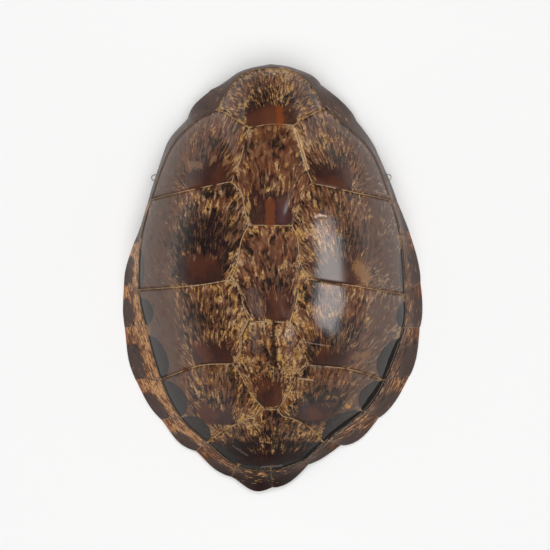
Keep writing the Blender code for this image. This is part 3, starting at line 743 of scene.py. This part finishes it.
class Markings:
    """What the materials read at each corner of each face: three numbers in each of the layers.

    flow: bearing about a point behind the areola, 0 straight ahead, in radians; distance out along
          its line, in mm; a number per scute, over MARGINAL_SEED on the marginals.
    form: distance from the scute's seam, in mm; how ragged the smooth patch's edge is; distance
          from the patch's middle, where 1 is its edge.
    tone: share of gold, or the ridges' height on the bone, where 1 is the spine's; share of dark
          blotches; height over a dark patch's edge by the gutter, in mm.
    extra: warmth; share of the golden net; height over the edge of the painted shade along the
    gutter.
    place: distance from the gutter, in mm; how far out on the flank, to 1; how far out on a
          marginal, to 1 at the rim.
    """

    def __init__(self, shell):
        self.shell = shell
        self.points = np.array(shell.mesh.points)
        self.vertex = np.concatenate(shell.mesh.faces)
        counts = [len(face) for face in shell.mesh.faces]
        self.patch = np.repeat(shell.mesh.patches, counts)
        self.values = np.zeros((len(self.vertex), 3 * len(LAYERS)))
        self.tree = KDTree(len(shell.gutter_xyz))
        for i, point in enumerate(shell.gutter_xyz):
            self.tree.insert(point, i)
        self.tree.balance()
        for number, (name, scute) in enumerate(DOME_SCUTES.items()):
            self.mark_dome_scute(number, name, scute)
        for number, marginal in enumerate(shell.marginals):
            self.mark_marginal(number, marginal)
        bone = self.patch == "hollow"
        self.values[bone, TONE] = bone_relief(self.points[self.vertex[bone], :2]) / SPINE_HEIGHT

    def mark_dome_scute(self, number, name, scute):
        """Measures each point once, around its scute's areola, and hands it to all its corners."""
        chosen = self.patch == name
        vertices, back = np.unique(self.vertex[chosen], return_inverse=True)
        points = self.points[vertices]
        plan = points[:, :2]
        areola = np.array([scute.areola], float)
        focus = on_dome(areola)[0]
        normal = dome_normals(areola[:, 0], areola[:, 1])[0]
        across, ahead = unrolled(points - focus, normal)
        seam = distance_to_loop(plan, self.shell.loops[name])
        edge = super_distance(across / scute.reach[0], ahead / scute.reach[1], AREOLA_SQUARENESS)
        beyond = np.hypot(across, ahead) * np.clip(1 - 1 / (edge + TINY), 0, 1)
        outer = smooth_step(*OUTER_GROWTH, beyond / (beyond + seam + TINY))
        medial, lateral = seam, np.zeros(len(points))
        if "costal" in name:
            medial = self.from_the_back(plan)
            lateral = across * np.sign(scute.areola[0])
        flank = smooth_step(*FLANK_FADE, lateral)
        gap, height, ditch_shade, prong = self.by_the_gutter(points)
        gold = scute.middle + (scute.front - scute.middle) * outer
        gold = gold * (1 - (1 - FLANK_GOLD[scute.areola[0] > 0]) * flank)
        gold = np.clip(gold + BACK_GOLD * np.exp(-medial / BACK_GOLD_WIDTH), 0, 1)
        dark = scute.dark * (1 - OUTER_CLEARER * outer) * (1 - FLANK_CLEARER * flank)
        self.values[chosen] = columns(
            np.arctan2(across, ahead + scute.behind), np.hypot(across, ahead + scute.behind),
            number * DOME_SEED_STEP,
            seam, smooth_step(*RAGGED_FRONT, ahead / scute.reach[1]), edge,
            np.clip(gold + prong, 0, 1), np.clip(dark, 0, 1), height,
            scute.warmth, scute.net * (1 - flank), ditch_shade,
            gap, flank, 0.0)[back]

    def from_the_back(self, plan):
        """Distance in plan to the nearest vertebral scute."""
        loops = [loop for name, loop in self.shell.loops.items() if "vertebral" in name]
        return np.min([distance_to_loop(plan, loop) for loop in loops], axis=0)

    def by_the_gutter(self, points):
        """Distance from the gutter, depths in the dark patch and the black line, extra gold."""
        found = []
        for point in points:
            _, nearest, gap = self.tree.find(point)
            marginal = self.shell.marginals[self.shell.scute_number[nearest]]
            order, side = marginal.order, marginal.side
            share = self.shell.along_scute[nearest] / self.shell.scute_length[nearest]
            start = LENS_START[order >= LENS_START_REAR]
            share = ((1 - share if side else share) - start) / (1 - start)
            bow = max(math.sin(math.pi * max(share, 0.0)), 0.0) ** LENS_ROUNDNESS
            prong = PRONG_GOLD * MARGINAL_GOLD[order][0] * (1 - bow)
            found.append((gap, LENS_REACH[order][side] * bow - gap,
                          DITCH_SHADE_WIDTH[order][side] * (1 - DITCH_SHADE_BOW * (1 - bow)) - gap,
                          prong * math.exp(-gap / PRONG_LENGTH)))
        return np.transpose(found)

    def mark_marginal(self, number, marginal):
        """A marginal's points lie in rows from the gutter out, so each one's number tells where."""
        shell, order, side = self.shell, marginal.order, marginal.side
        chosen = self.patch == f"marginal_{number}"
        count = len(shell.gutter_xyz)
        vertex = self.vertex[chosen]
        in_band = vertex >= count
        row = np.where(in_band, (vertex - shell.band_first) // count + 1, 0)
        column = np.where(in_band, (vertex - shell.band_first) % count, vertex)
        own = np.nonzero(shell.scute_number == number)[0]
        length = shell.scute_length[own[0]]
        along = np.where(column == (own[-1] + 1) % count, length, shell.along_scute[column])
        if side:
            along = length - along
        level = np.array(shell.band_levels)[row]
        out = level * shell.band_width[column]
        middle, reach = MARGINAL_PATCH, MARGINAL_PATCH_REACH
        edge = super_distance((along / length - middle[0]) / reach[0],
                              (level - middle[1]) / reach[1], MARGINAL_PATCH_SQUARENESS)
        share = MARGINAL_GOLD[order][side]
        self.values[chosen] = columns(
            (out + MARGINAL_SPLAY * along) / SPREAD, along,
            MARGINAL_SEED_FIRST + number * MARGINAL_SEED_STEP,
            np.minimum(np.minimum(along, length - along), out), MARGINAL_RAGGEDNESS, edge,
            share * smooth_step(*MARGINAL_PATCH_FADE, edge), MARGINAL_DARK, NO_LENS,
            smooth_step(*MARGINAL_WARMTH, share), 0.0, DITCH_SHADE_OUTSIDE * DITCH_SHADE_WIDTH[order][side] - out,
            out, 0.0, level)


def columns(*values):
    """The values side by side. A single number fills its column."""
    return np.column_stack(np.broadcast_arrays(*values))


def super_distance(across, ahead, squareness):
    """Distance from the middle of a rounded square that reaches 1 on all sides."""
    return (np.abs(across) ** squareness + np.abs(ahead) ** squareness) ** (1 / squareness)


def unrolled(offsets, normal):
    """Offsets from a point of the surface, laid flat around it: to the right, and ahead."""
    ahead_axis = np.array([0.0, 1.0, 0.0]) - normal[1] * normal
    ahead_axis /= np.linalg.norm(ahead_axis)
    flat = np.column_stack([offsets @ np.cross(ahead_axis, normal), offsets @ ahead_axis])
    length = np.linalg.norm(offsets, axis=1)
    flat *= (length / (np.linalg.norm(flat, axis=1) + 1e-9))[:, None]
    return flat.T


# -------- material nodes

class Value:
    """A number, vector or colour that nodes work out. Arithmetic on it adds nodes."""

    def __init__(self, nodes, socket):
        self.nodes = nodes
        self.socket = socket

    def __add__(self, other):
        return self.nodes.math("ADD", self, other)

    def __sub__(self, other):
        return self.nodes.math("SUBTRACT", self, other)

    def __rsub__(self, other):
        return self.nodes.math("SUBTRACT", other, self)

    def __mul__(self, other):
        return self.nodes.math("MULTIPLY", self, other)

    def __truediv__(self, other):
        return self.nodes.math("DIVIDE", self, other)

    def __abs__(self):
        return self.nodes.math("ABSOLUTE", self)


class Nodes:
    """Short calls for the nodes of one material or world. An input is a Value or a constant."""

    def __init__(self, owner):
        owner.use_nodes = True
        self.tree = owner.node_tree

    def add(self, kind, inputs, output=0, **settings):
        node = self.tree.nodes.new(kind)
        for name, value in settings.items():
            setattr(node, name, value)
        self.put(node, inputs)
        return Value(self, node.outputs[output])

    def put(self, node, inputs):
        for name, value in inputs.items():
            if isinstance(value, Value):
                self.tree.links.new(value.socket, node.inputs[name])
            else:
                node.inputs[name].default_value = value

    def shade(self, inputs):
        """Sets the material's shader."""
        self.put(self.tree.nodes["Principled BSDF"], inputs)

    def math(self, operation, a, b=0.0):
        return self.add("ShaderNodeMath", {0: a, 1: b}, operation=operation)

    def vector_math(self, operation, a, b, output="Vector"):
        return self.add("ShaderNodeVectorMath", {0: a, 1: b}, output, operation=operation)

    def step(self, value, low, high):
        """0 below low and 1 above high, or the other way round, with a soft change between."""
        inputs = {"Value": value, "From Min": low, "From Max": high}
        return self.add("ShaderNodeMapRange", inputs, interpolation_type="SMOOTHSTEP")

    def place(self):
        return self.add("ShaderNodeTexCoord", {}, "Object")

    def vector(self, x, y, z=0.0):
        return self.add("ShaderNodeCombineXYZ", {0: x, 1: y, 2: z})

    def parts(self, vector):
        node = self.tree.nodes.new("ShaderNodeSeparateXYZ")
        self.put(node, {0: vector})
        return [Value(self, output) for output in node.outputs]

    def attribute(self, name):
        return self.parts(self.add("ShaderNodeAttribute", {}, "Vector", attribute_name=name))

    def noise(self, vector, scale=1.0, detail=2.0, roughness=0.5):
        inputs = {"Vector": vector, "Scale": scale, "Detail": detail, "Roughness": roughness}
        return self.add("ShaderNodeTexNoise", inputs, "Fac")

    def mix(self, share, a, b):
        """Colours: a where the share is 0, and b where it is 1."""
        return self.add("ShaderNodeMix", {0: share, 6: a, 7: b}, 2, data_type="RGBA")

    def blend(self, share, a, b):
        """Numbers: a where the share is 0, and b where it is 1."""
        return self.add("ShaderNodeMix", {0: share, 2: a, 3: b}, data_type="FLOAT")

    def bump(self, height, distance, strength, **under):
        inputs = {"Height": height, "Distance": distance, "Strength": strength, **under}
        return self.add("ShaderNodeBump", inputs, "Normal")


def swing(noise, size):
    """The noise as a swing about 0, of this size."""
    return (noise - 0.5) * size


def srgb(*screen):
    """The linear colour of three values from 0 to 255, as a screen shows them."""
    shares = [value / 255 for value in screen]
    return (*[s / 12.92 if s <= 0.04045 else ((s + 0.055) / 1.055) ** 2.4 for s in shares], 1.0)


# -------- horn

BROWN = srgb(62, 37, 25)
RED_BROWN = srgb(80, 41, 26)
DEEP_BROWN = srgb(34, 22, 18)
MID_BROWN = srgb(98, 60, 40)
FLANK_BROWN = srgb(84, 66, 56)
HAIR_BROWN = srgb(122, 86, 62)
TAN = srgb(156, 124, 94)
FLANK_TAN = srgb(134, 112, 94)
OCHRE = srgb(156, 116, 64)
OCHRE_BLOT = srgb(172, 134, 74)
OCHRE_DARK = srgb(134, 92, 48)
AMBER = srgb(126, 74, 36)
PALE_GOLD = srgb(188, 156, 112)
NEAR_BLACK = srgb(20, 16, 17)
PURPLE_BLACK = srgb(34, 21, 27)
AREOLA = srgb(76, 42, 30)
AREOLA_DARK = srgb(52, 30, 26)
# partly the horn's own dark colour, partly painted reflection
LENS_GREY_AND_REFLECTION = srgb(38, 36, 34)
# painted shade in the gutter's ditch
DITCH_PAINTED_SHADE = srgb(20, 17, 16)
DITCH_GLINT = srgb(168, 158, 150)
RIM_ORANGE = srgb(150, 80, 48)
SEAM_PALE = srgb(182, 157, 124)
# painted shade beside the seams
SEAM_PAINTED_SHADE = srgb(50, 33, 25)
MARGINAL_BROWN = srgb(72, 55, 48)
MARGINAL_ORANGE = srgb(206, 150, 98)
MARGINAL_RUST = srgb(92, 54, 34)
MARGINAL_PURPLE = srgb(38, 26, 27)

STREAK_WOBBLE = 6.0  # mm that a streak wanders sideways
TAIL_DARKENS = (-0.255, -0.28)  # along Y, in metres
BARE_REAR = (-0.17, -0.25)  # where the varnish wears thin
VARNISH = 0.8
VARNISH_BARE = 0.3
VARNISH_DUSTY = 0.12  # in the seams and along the gutter
VARNISH_ROUGHNESS = 0.17
HORN_ROUGHNESS = 0.5


class Horn:
    """Dark brown horn with streaks of gold that fan from each scute's areola, under varnish.

    Each step takes the colour so far and lays its own marks over it.
    """

    def __init__(self):
        self.material = bpy.data.materials.new("varnished_horn")
        self.n = n = Nodes(self.material)
        self.bearing, self.out, self.seed = n.attribute("flow")
        self.seam, self.raggedness, self.edge = n.attribute("form")
        self.gold, self.dark, self.lens = n.attribute("tone")
        self.warmth, self.net, self.ditch_shade = n.attribute("extra")
        self.gutter, self.flank, self.rim = n.attribute("place")
        self.marginal = n.math("GREATER_THAN", self.seed, MARGINAL_SEED)
        self.plain = self.marginal * n.step(self.gold, 0.3, 0.15)

        self.place = n.place()
        x, self.y, _ = n.parts(self.place)
        self.patchy = n.noise(self.place, scale=75.0, roughness=0.55)
        self.fleck = n.noise(self.place, scale=330.0, roughness=0.6)
        self.cloud = n.noise(self.place, scale=30.0)
        self.zone = n.noise(n.vector(x, self.y, 0.3), scale=24.0, roughness=0.6)
        self.hair = self.streaks(2.0, 13.0, detail=1.0)
        self.fine = self.streaks(3.2, 11.0, offset=13.0)
        self.medium = self.streaks(4.6, 17.0, offset=31.0)
        self.coarse = self.streaks(8.0, 20.0, offset=57.0)

        color = self.browns()
        for lay in (self.gold_streaks, self.blots, self.areolas, self.gutter_patches, self.paint_ditch_shade,
                    self.orange_rim_edge, self.seams, self.strokes):
            color = lay(color)
        n.shade({"Base Color": color, "Roughness": HORN_ROUGHNESS, "Specular IOR Level": 0.0})
        self.varnish()

    def streaks(self, width, length, offset=0.0, detail=2.0):
        """Noise drawn out along the streaks' lines. One unit is one streak, in mm."""
        across = self.bearing * (SPREAD / width) + swing(self.patchy, STREAK_WOBBLE) / width
        place = self.n.vector(across, self.out / length, self.seed + offset)
        return self.n.noise(place, detail=detail, roughness=0.55)

    def browns(self):
        """The ground, streaked along the lines."""
        n, marginal = self.n, self.marginal
        depth = self.medium + (0.45 - self.dark) * 0.3 + swing(self.zone, 0.45)
        ground = n.mix(self.warmth * n.step(self.cloud, 0.36, 0.56), BROWN, RED_BROWN)
        color = n.mix(n.step(depth, 0.39, 0.54), DEEP_BROWN, ground)
        color = n.mix(n.step(depth, 0.48, 0.64) * 0.7, color, MID_BROWN)
        smoothed = self.flank * n.blend(n.step(self.patchy, 0.3, 0.6), 0.5, 0.95)
        color = n.mix(smoothed, color, FLANK_BROWN)
        thread = n.step(self.hair, 0.44, 0.62) * n.blend(self.flank, 0.65, 0.15)
        color = n.mix(thread * n.blend(n.step(depth, 0.3, 0.5), 0.45, 1.0), color, HAIR_BROWN)
        color = n.mix(marginal * n.step(self.gold, 0.3, 0.6), color, MARGINAL_RUST)
        color = n.mix(self.plain * 0.85, color, MARGINAL_BROWN)
        return n.mix(marginal * n.step(self.y, *TAIL_DARKENS) * 0.85, color, DEEP_BROWN)

    def gold_streaks(self, color):
        """Thin gold and tan streaks in clusters, or in a net."""
        n, fleck = self.n, self.fleck
        density = self.gold + swing(n.blend(0.5, self.coarse, self.patchy), 1.5)
        threshold = 0.66 - (density + swing(self.zone, 1.6)) * 0.24
        flecked = n.blend(self.net, 0.12, 0.4)
        over = n.blend(flecked, n.blend(0.45, self.hair, self.fine), fleck) - threshold
        streak = n.step(over, -0.03, 0.05) * n.blend(n.step(fleck, 0.36, 0.52), 0.5, 1.0)
        mesh = n.step(abs(fleck - 0.5), 0.045, 0.015) * self.net * n.step(self.patchy, 0.4, 0.55)
        streak = n.math("MAXIMUM", streak, mesh * 0.8)
        gold = n.mix(n.step(self.coarse, 0.4, 0.6), TAN, OCHRE)
        gold = n.mix(self.warmth * n.step(self.cloud, 0.46, 0.64), gold, AMBER)
        bright = n.step(over, 0.04, 0.12) * n.step(fleck, 0.44, 0.58)
        gold = n.mix(bright, gold, PALE_GOLD)
        gold = n.mix(self.flank * 0.6, gold, FLANK_TAN)
        gold = n.mix(self.marginal * 0.6, gold, MARGINAL_ORANGE)
        return n.mix(streak * 0.85, color, gold)

    def blots(self, color):
        """Ragged blots of ochre on the dome, then dark ones everywhere."""
        n, coarse, fine = self.n, self.coarse, self.fine
        shape = n.blend(0.35, n.blend(0.45, coarse, self.patchy), n.blend(0.5, fine, self.fleck))
        blot = n.step(shape - (0.7 - self.gold * 0.23), -0.01, 0.02) * (1.0 - self.marginal)
        ochre = n.mix(n.step(self.hair, 0.4, 0.6), OCHRE_DARK, OCHRE_BLOT)
        color = n.mix(blot * n.blend(self.flank, 0.8, 0.3), color, ochre)
        drops = n.noise(self.place, scale=95.0, detail=1.0)
        drawn = self.streaks(7.0, 18.0, offset=83.0)
        shape = n.blend(0.3, n.blend(0.45, drawn, drops), fine)
        blotch = n.step(shape - (0.68 - self.dark * 0.2), -0.012, 0.02)
        black = n.mix(n.step(self.cloud, 0.45, 0.6), NEAR_BLACK, PURPLE_BLACK)
        return n.mix(blotch * 0.85, color, black)

    def areolas(self, color):
        """The smooth patches that the scutes grew from, with a ragged front."""
        n = self.n
        self.smooth = n.step(self.edge + swing(self.medium, 3.8) * self.raggedness, 1.03, 0.99)
        areola = n.mix(n.step(self.cloud, 0.4, 0.62), AREOLA_DARK, AREOLA)
        areola = n.mix(n.step(self.dark, 0.94, 0.99) * 0.75, areola, NEAR_BLACK)
        areola = n.mix(self.marginal, areola, MARGINAL_PURPLE)
        return n.mix(self.smooth * n.blend(self.plain, 0.94, 0.25), color, areola)

    def gutter_patches(self, color):
        """Smooth dark patches by the gutter, with a darker edge, their grey partly own colour and
        partly painted reflection.
        """
        n = self.n
        height = self.lens + swing(n.blend(0.3, self.patchy, self.medium), 11.0)
        patch = n.step(height, -0.3, 0.5)
        self.smooth = n.math("MAXIMUM", self.smooth, patch)
        # grey patch: partly the horn's own colour, partly painted reflection
        color = n.mix(patch * 0.92, color, LENS_GREY_AND_REFLECTION)
        border = n.step(height, -1.2, -0.3) * n.step(height, 1.4, 0.4)
        return n.mix(border * 0.7, color, NEAR_BLACK)

    def paint_ditch_shade(self, color):
        """Painted shade as a black line along the gutter, and a painted highlight on its outer edge
        where it is wide.
        """
        n = self.n
        depth = self.ditch_shade + swing(n.blend(0.4, self.patchy, self.fleck), 9.0)
        # the ditch drawn black: painted shade
        self.black = n.step(depth, -0.3, 0.8)
        color = n.mix(self.black * 0.85, color, DITCH_PAINTED_SHADE)
        # a thin painted highlight on the ditch's outer edge
        glint = n.step(abs(self.ditch_shade - 0.8 + swing(self.patchy, 6.0)), 1.0, 0.3)
        glint = glint * n.step(self.fleck, 0.4, 0.54)
        wide = self.marginal * n.step(self.ditch_shade + self.gutter, 1.8, 2.6)
        return n.mix(glint * wide * 0.65, color, DITCH_GLINT)

    def orange_rim_edge(self, color):
        # orange along the rim's rounded edge, where the marginal has gold
        n = self.n
        worn = n.step(self.rim, 0.9, 1.0) * n.step(self.gold, 0.3, 0.45)
        return n.mix(worn * 0.7, color, RIM_ORANGE)

    def seams(self, color):
        """A thin pale line in a dark band of painted shade beside the seam."""
        n = self.n
        wander = self.seam + swing(self.fleck, 1.4)
        # a dark band of painted shade along the seam's groove
        color = n.mix(n.step(wander, 2.0, 0.9) * 0.4, color, SEAM_PAINTED_SHADE)
        line = n.step(wander, 0.75, 0.25) * n.step(self.patchy, 0.34, 0.48)
        strength = n.blend(self.marginal, n.blend(self.flank, 0.74, 0.5), self.gold * 0.6)
        return n.mix(line * strength, color, SEAM_PALE)

    def strokes(self, color):
        """The single marks. Each is as near as the closest point of its line."""
        n = self.n
        plan = n.vector_math("MULTIPLY", self.place, (1 / MM, 1 / MM, 0))
        for stroke in STROKES:
            start = Vector((*stroke.start, 0))
            span = Vector((*stroke.end, 0)) - start
            offset = n.vector_math("SUBTRACT", plan, start)
            share = n.vector_math("DOT_PRODUCT", offset, span / span.length_squared, "Value")
            share = n.add("ShaderNodeClamp", {"Value": share})
            nearest = n.add("ShaderNodeVectorMath", {0: span, "Scale": share}, operation="SCALE")
            gap = n.vector_math("DISTANCE", offset, nearest, "Value")
            gap = gap + swing(self.fleck, 3.0 * stroke.soft)
            over = n.step(gap, stroke.half_width + stroke.soft, stroke.half_width)
            color = n.mix(over * stroke.strength, color, srgb(*stroke.color))
        return color

    def varnish(self):
        """Clear varnish over faintly streaked horn, thin where it is worn or dusty."""
        n = self.n
        relief = n.blend(self.smooth, self.hair * 0.5 + self.medium * 0.5, 0.5)
        under = n.bump(n.noise(self.place, scale=38.0, detail=1.0), 0.0006, 0.35)
        bare = n.math("MAXIMUM", self.marginal * 0.7, n.step(self.y, *BARE_REAR))
        dusty = n.step(self.seam, 4.5, 2.0) * (1.0 - self.marginal)
        thin = n.math("MAXIMUM", dusty, self.black)
        n.shade({
            "Normal": n.bump(relief, 0.0005, 0.35, Normal=under),
            "Coat Normal": n.bump(relief, 0.0005, 0.45, Normal=under),
            "Coat Weight": n.blend(thin, n.blend(bare, VARNISH, VARNISH_BARE), VARNISH_DUSTY),
            "Coat Roughness": VARNISH_ROUGHNESS,
            "Coat IOR": 1.5,
        })


# -------- bone and wire

BONE = srgb(176, 152, 118)
BONE_STAIN = srgb(128, 98, 68)
BONE_PALE = srgb(202, 184, 152)
BONE_PIT = srgb(92, 68, 48)
WIRE_BRIGHT = srgb(206, 196, 170)
WIRE_TARNISH = srgb(150, 128, 92)


def bone_material():
    """Dry bone: spine and ribs paler by their height, partly own tone and partly painted highlight,
    stained plates between them, and wavy sutures.
    """
    material = bpy.data.materials.new("dry_bone")
    n = Nodes(material)
    place = n.place()
    x, y, z = n.parts(place)
    height = n.attribute("tone")[0]
    grain = n.noise(n.vector(x * 60.0, y * 420.0, z))
    pit = n.noise(place, scale=300.0)
    stain = n.step(n.noise(place, scale=18.0, detail=4.0, roughness=0.6), 0.42, 0.64)
    color = n.mix(stain, BONE, BONE_STAIN)
    color = n.mix(n.step(grain, 0.5, 0.66) * 0.4, color, BONE_PALE)
    # paler by the ridges' height: partly the bone's own tone, partly painted highlight that shows
    # their relief
    color = n.mix(n.step(height + swing(pit, 0.1), 0.08, 0.5) * 0.8, color, BONE_PALE)

    # sutures midway between the ribs, and between the vertebrae
    aside = abs(x - APEX[0] * MM)
    plates = (RIB_FIRST * MM - (y + aside * RIB_SWEEP)) / (RIB_SPACING * MM)
    on_spine = n.step(aside, 1.6 * SPINE_HALF_WIDTH * MM, 1.2 * SPINE_HALF_WIDTH * MM)
    count = n.blend(on_spine, plates, y / (VERTEBRA_LENGTH * MM))
    count = count + swing(n.noise(place, scale=140.0), 0.16)
    suture = n.step(abs(n.math("FRACT", count) - 0.5), 0.035, 0.012) * 0.7
    color = n.mix(suture, color, BONE_PIT)
    color = n.mix(n.step(pit, 0.62, 0.7) * 0.5, color, BONE_PIT)
    relief = grain * 0.5 + n.step(pit, 0.7, 0.6) - suture
    n.shade({"Base Color": color, "Roughness": 0.62, "Normal": n.bump(relief, 0.0006, 0.5)})
    return material


def wire_material():
    """Thin tinned wire, slightly tarnished."""
    material = bpy.data.materials.new("loop_wire")
    n = Nodes(material)
    tarnish = n.noise(n.place(), scale=700.0, detail=3.0, roughness=0.6)
    n.shade({
        "Base Color": n.mix(n.step(tarnish, 0.42, 0.62), WIRE_BRIGHT, WIRE_TARNISH),
        "Metallic": 1.0,
        "Roughness": n.blend(tarnish, 0.22, 0.42),
        "Normal": n.bump(tarnish, 0.0001, 0.3),
    })
    return material


# -------- pieces

def link_piece(name, mesh):
    mesh.shade_smooth()
    piece = bpy.data.objects.new(name, mesh)
    bpy.context.scene.collection.objects.link(piece)
    return piece


def make_carapace():
    """The whole shell as one piece: horn outside, bone inside."""
    shell = Carapace()
    marks = Markings(shell)
    mesh = bpy.data.meshes.new("carapace_skin")
    mesh.from_pydata([Vector(point) * MM for point in shell.mesh.points], [], shell.mesh.faces)
    mesh.materials.append(Horn().material)
    mesh.materials.append(bone_material())
    inside = np.array(shell.mesh.patches) == "hollow"
    mesh.polygons.foreach_set("material_index", inside.astype(np.int32))
    for i, name in enumerate(LAYERS):
        values = marks.values[:, 3 * i:3 * i + 3].astype(np.float32)
        layer = mesh.attributes.new(name, "FLOAT_VECTOR", "CORNER")
        layer.data.foreach_set("vector", values.ravel())
    piece = link_piece("carapace_skin", mesh)
    for name in LOOPS:
        drill_loop_holes(name, piece)
    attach(piece, "root")
    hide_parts("carapace")


def loop_axes(name):
    """A loop's middle, its directions out of the shell and along the rim, and its bearing."""
    centre, bearing = LOOPS[name]
    turn = math.radians(bearing)
    out = Vector((math.cos(turn), math.sin(turn), 0))
    side = Vector((-math.sin(turn), math.cos(turn), 0))
    return Vector(centre), out, side, turn


def drill_loop_holes(name, piece):
    """Two holes through the rim's wall, where the loop's long sides cross it."""
    centre, _, side, turn = loop_axes(name)
    for end in (-1, 1):
        bpy.ops.mesh.primitive_cylinder_add(
            vertices=HOLE_SEGMENTS, radius=HOLE_RADIUS * MM, depth=HOLE_LENGTH * MM,
            location=(centre + side * end * HOLE_FROM_MIDDLE) * MM, rotation=(0, math.pi / 2, turn))
        drill = bpy.context.object
        cut = piece.modifiers.new("hole", "BOOLEAN")
        cut.operation = "DIFFERENCE"
        cut.solver = "EXACT"
        cut.object = drill
        bpy.context.view_layer.objects.active = piece
        bpy.ops.object.modifier_apply(modifier=cut.name)
        bpy.data.objects.remove(drill, do_unlink=True)


def make_loop(name, material):
    """A ring of wire laced through its two holes, bent by hand, so not quite regular."""
    centre, out, side, _ = loop_axes(name)
    work = bmesh.new()
    rings = []
    for i in range(LOOP_SEGMENTS):
        angle = 2 * math.pi * i / LOOP_SEGMENTS
        radial = (out * math.cos(angle) / LOOP_HALF_LENGTH
                  + side * math.sin(angle) / LOOP_HALF_WIDTH).normalized()
        dent = 1 - LOOP_DENT * math.cos(3 * angle + LOOP_DENT_TURN)
        middle = (centre + out * LOOP_HALF_LENGTH * math.cos(angle) * dent
                  + side * LOOP_HALF_WIDTH * math.sin(angle) * dent)
        ring = []
        for j in range(WIRE_SIDES):
            turn = 2 * math.pi * j / WIRE_SIDES
            lift = Vector((0, 0, 1)) * math.sin(turn) + radial * math.cos(turn)
            ring.append(work.verts.new((middle + lift * WIRE_RADIUS) * MM))
        rings.append(ring)
    for here, there in zip(rings, rings[1:] + rings[:1]):
        for j in range(WIRE_SIDES):
            k = (j + 1) % WIRE_SIDES
            work.faces.new((here[j], there[j], there[k], here[k]))
    bmesh.ops.recalc_face_normals(work, faces=work.faces)
    mesh = bpy.data.meshes.new(name + "_wire")
    work.to_mesh(mesh)
    work.free()
    mesh.materials.append(material)
    piece = link_piece(name + "_wire", mesh)
    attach(piece, "root")
    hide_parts(name)


# -------- studio

def make_floor():
    bpy.ops.mesh.primitive_plane_add(size=FLOOR_SIZE, location=(0, 0, FLOOR_Z))
    floor = bpy.context.object
    floor.name = "floor"
    paper = bpy.data.materials.new("paper")
    Nodes(paper).shade({"Base Color": FLOOR_COLOR, "Roughness": 0.9, "Specular IOR Level": 0.1})
    floor.data.materials.append(paper)


def area_light(name, panel, lit=True):
    """A rectangular panel, which either lights the scene or shows in the varnish, not both."""
    data = bpy.data.lights.new(name, "AREA")
    data.shape = "RECTANGLE"
    data.size, data.size_y = panel.size
    data.energy = panel.power
    light = bpy.data.objects.new(name, data)
    light.location = panel.place
    aim = Vector(panel.target) - Vector(panel.place)
    light.rotation_euler = aim.to_track_quat("-Z", "Y").to_euler()
    light.visible_diffuse = lit
    light.visible_glossy = not lit
    light.visible_camera = False
    bpy.context.scene.collection.objects.link(light)


def make_world():
    """Pale walls on the left and right, brightest at their foot."""
    world = bpy.data.worlds.new("studio")
    n = Nodes(world)
    x, _, z = n.parts(n.add("ShaderNodeTexCoord", {}, "Generated"))
    strength = abs(x) * (n.step(z, *WALL_FADE) * WALL_STRENGTH) + ROOM_STRENGTH
    n.put(n.tree.nodes["Background"], {"Color": WALL_COLOR, "Strength": strength})
    bpy.context.scene.world = world


def make_camera():
    """Straight above the shell, framed as the photograph is."""
    data = bpy.data.cameras.new("camera")
    data.sensor_width = SENSOR_WIDTH
    view_width = PHOTO_SIDE * MM_PER_PIXEL * MM
    data.lens = SENSOR_WIDTH * (CAMERA_PLACE[2] - RIM_LEVEL) / view_width
    camera = bpy.data.objects.new("camera", data)
    camera.location = CAMERA_PLACE
    bpy.context.scene.collection.objects.link(camera)
    bpy.context.scene.camera = camera


# -------- whole scene

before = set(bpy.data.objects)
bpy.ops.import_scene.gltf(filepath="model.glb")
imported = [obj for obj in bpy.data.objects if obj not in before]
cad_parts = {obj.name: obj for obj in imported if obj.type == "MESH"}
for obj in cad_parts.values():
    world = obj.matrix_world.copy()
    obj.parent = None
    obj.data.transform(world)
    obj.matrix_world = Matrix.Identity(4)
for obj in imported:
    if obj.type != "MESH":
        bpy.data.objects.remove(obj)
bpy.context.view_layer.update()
bpy.context.scene.view_settings.view_transform = "Standard"
make_camera()
make_floor()
area_light("overhead", OVERHEAD)
area_light("right_strip", RIGHT_STRIP, lit=False)
make_world()
make_carapace()
loop_wire = wire_material()
for loop_name in LOOPS:
    make_loop(loop_name, loop_wire)
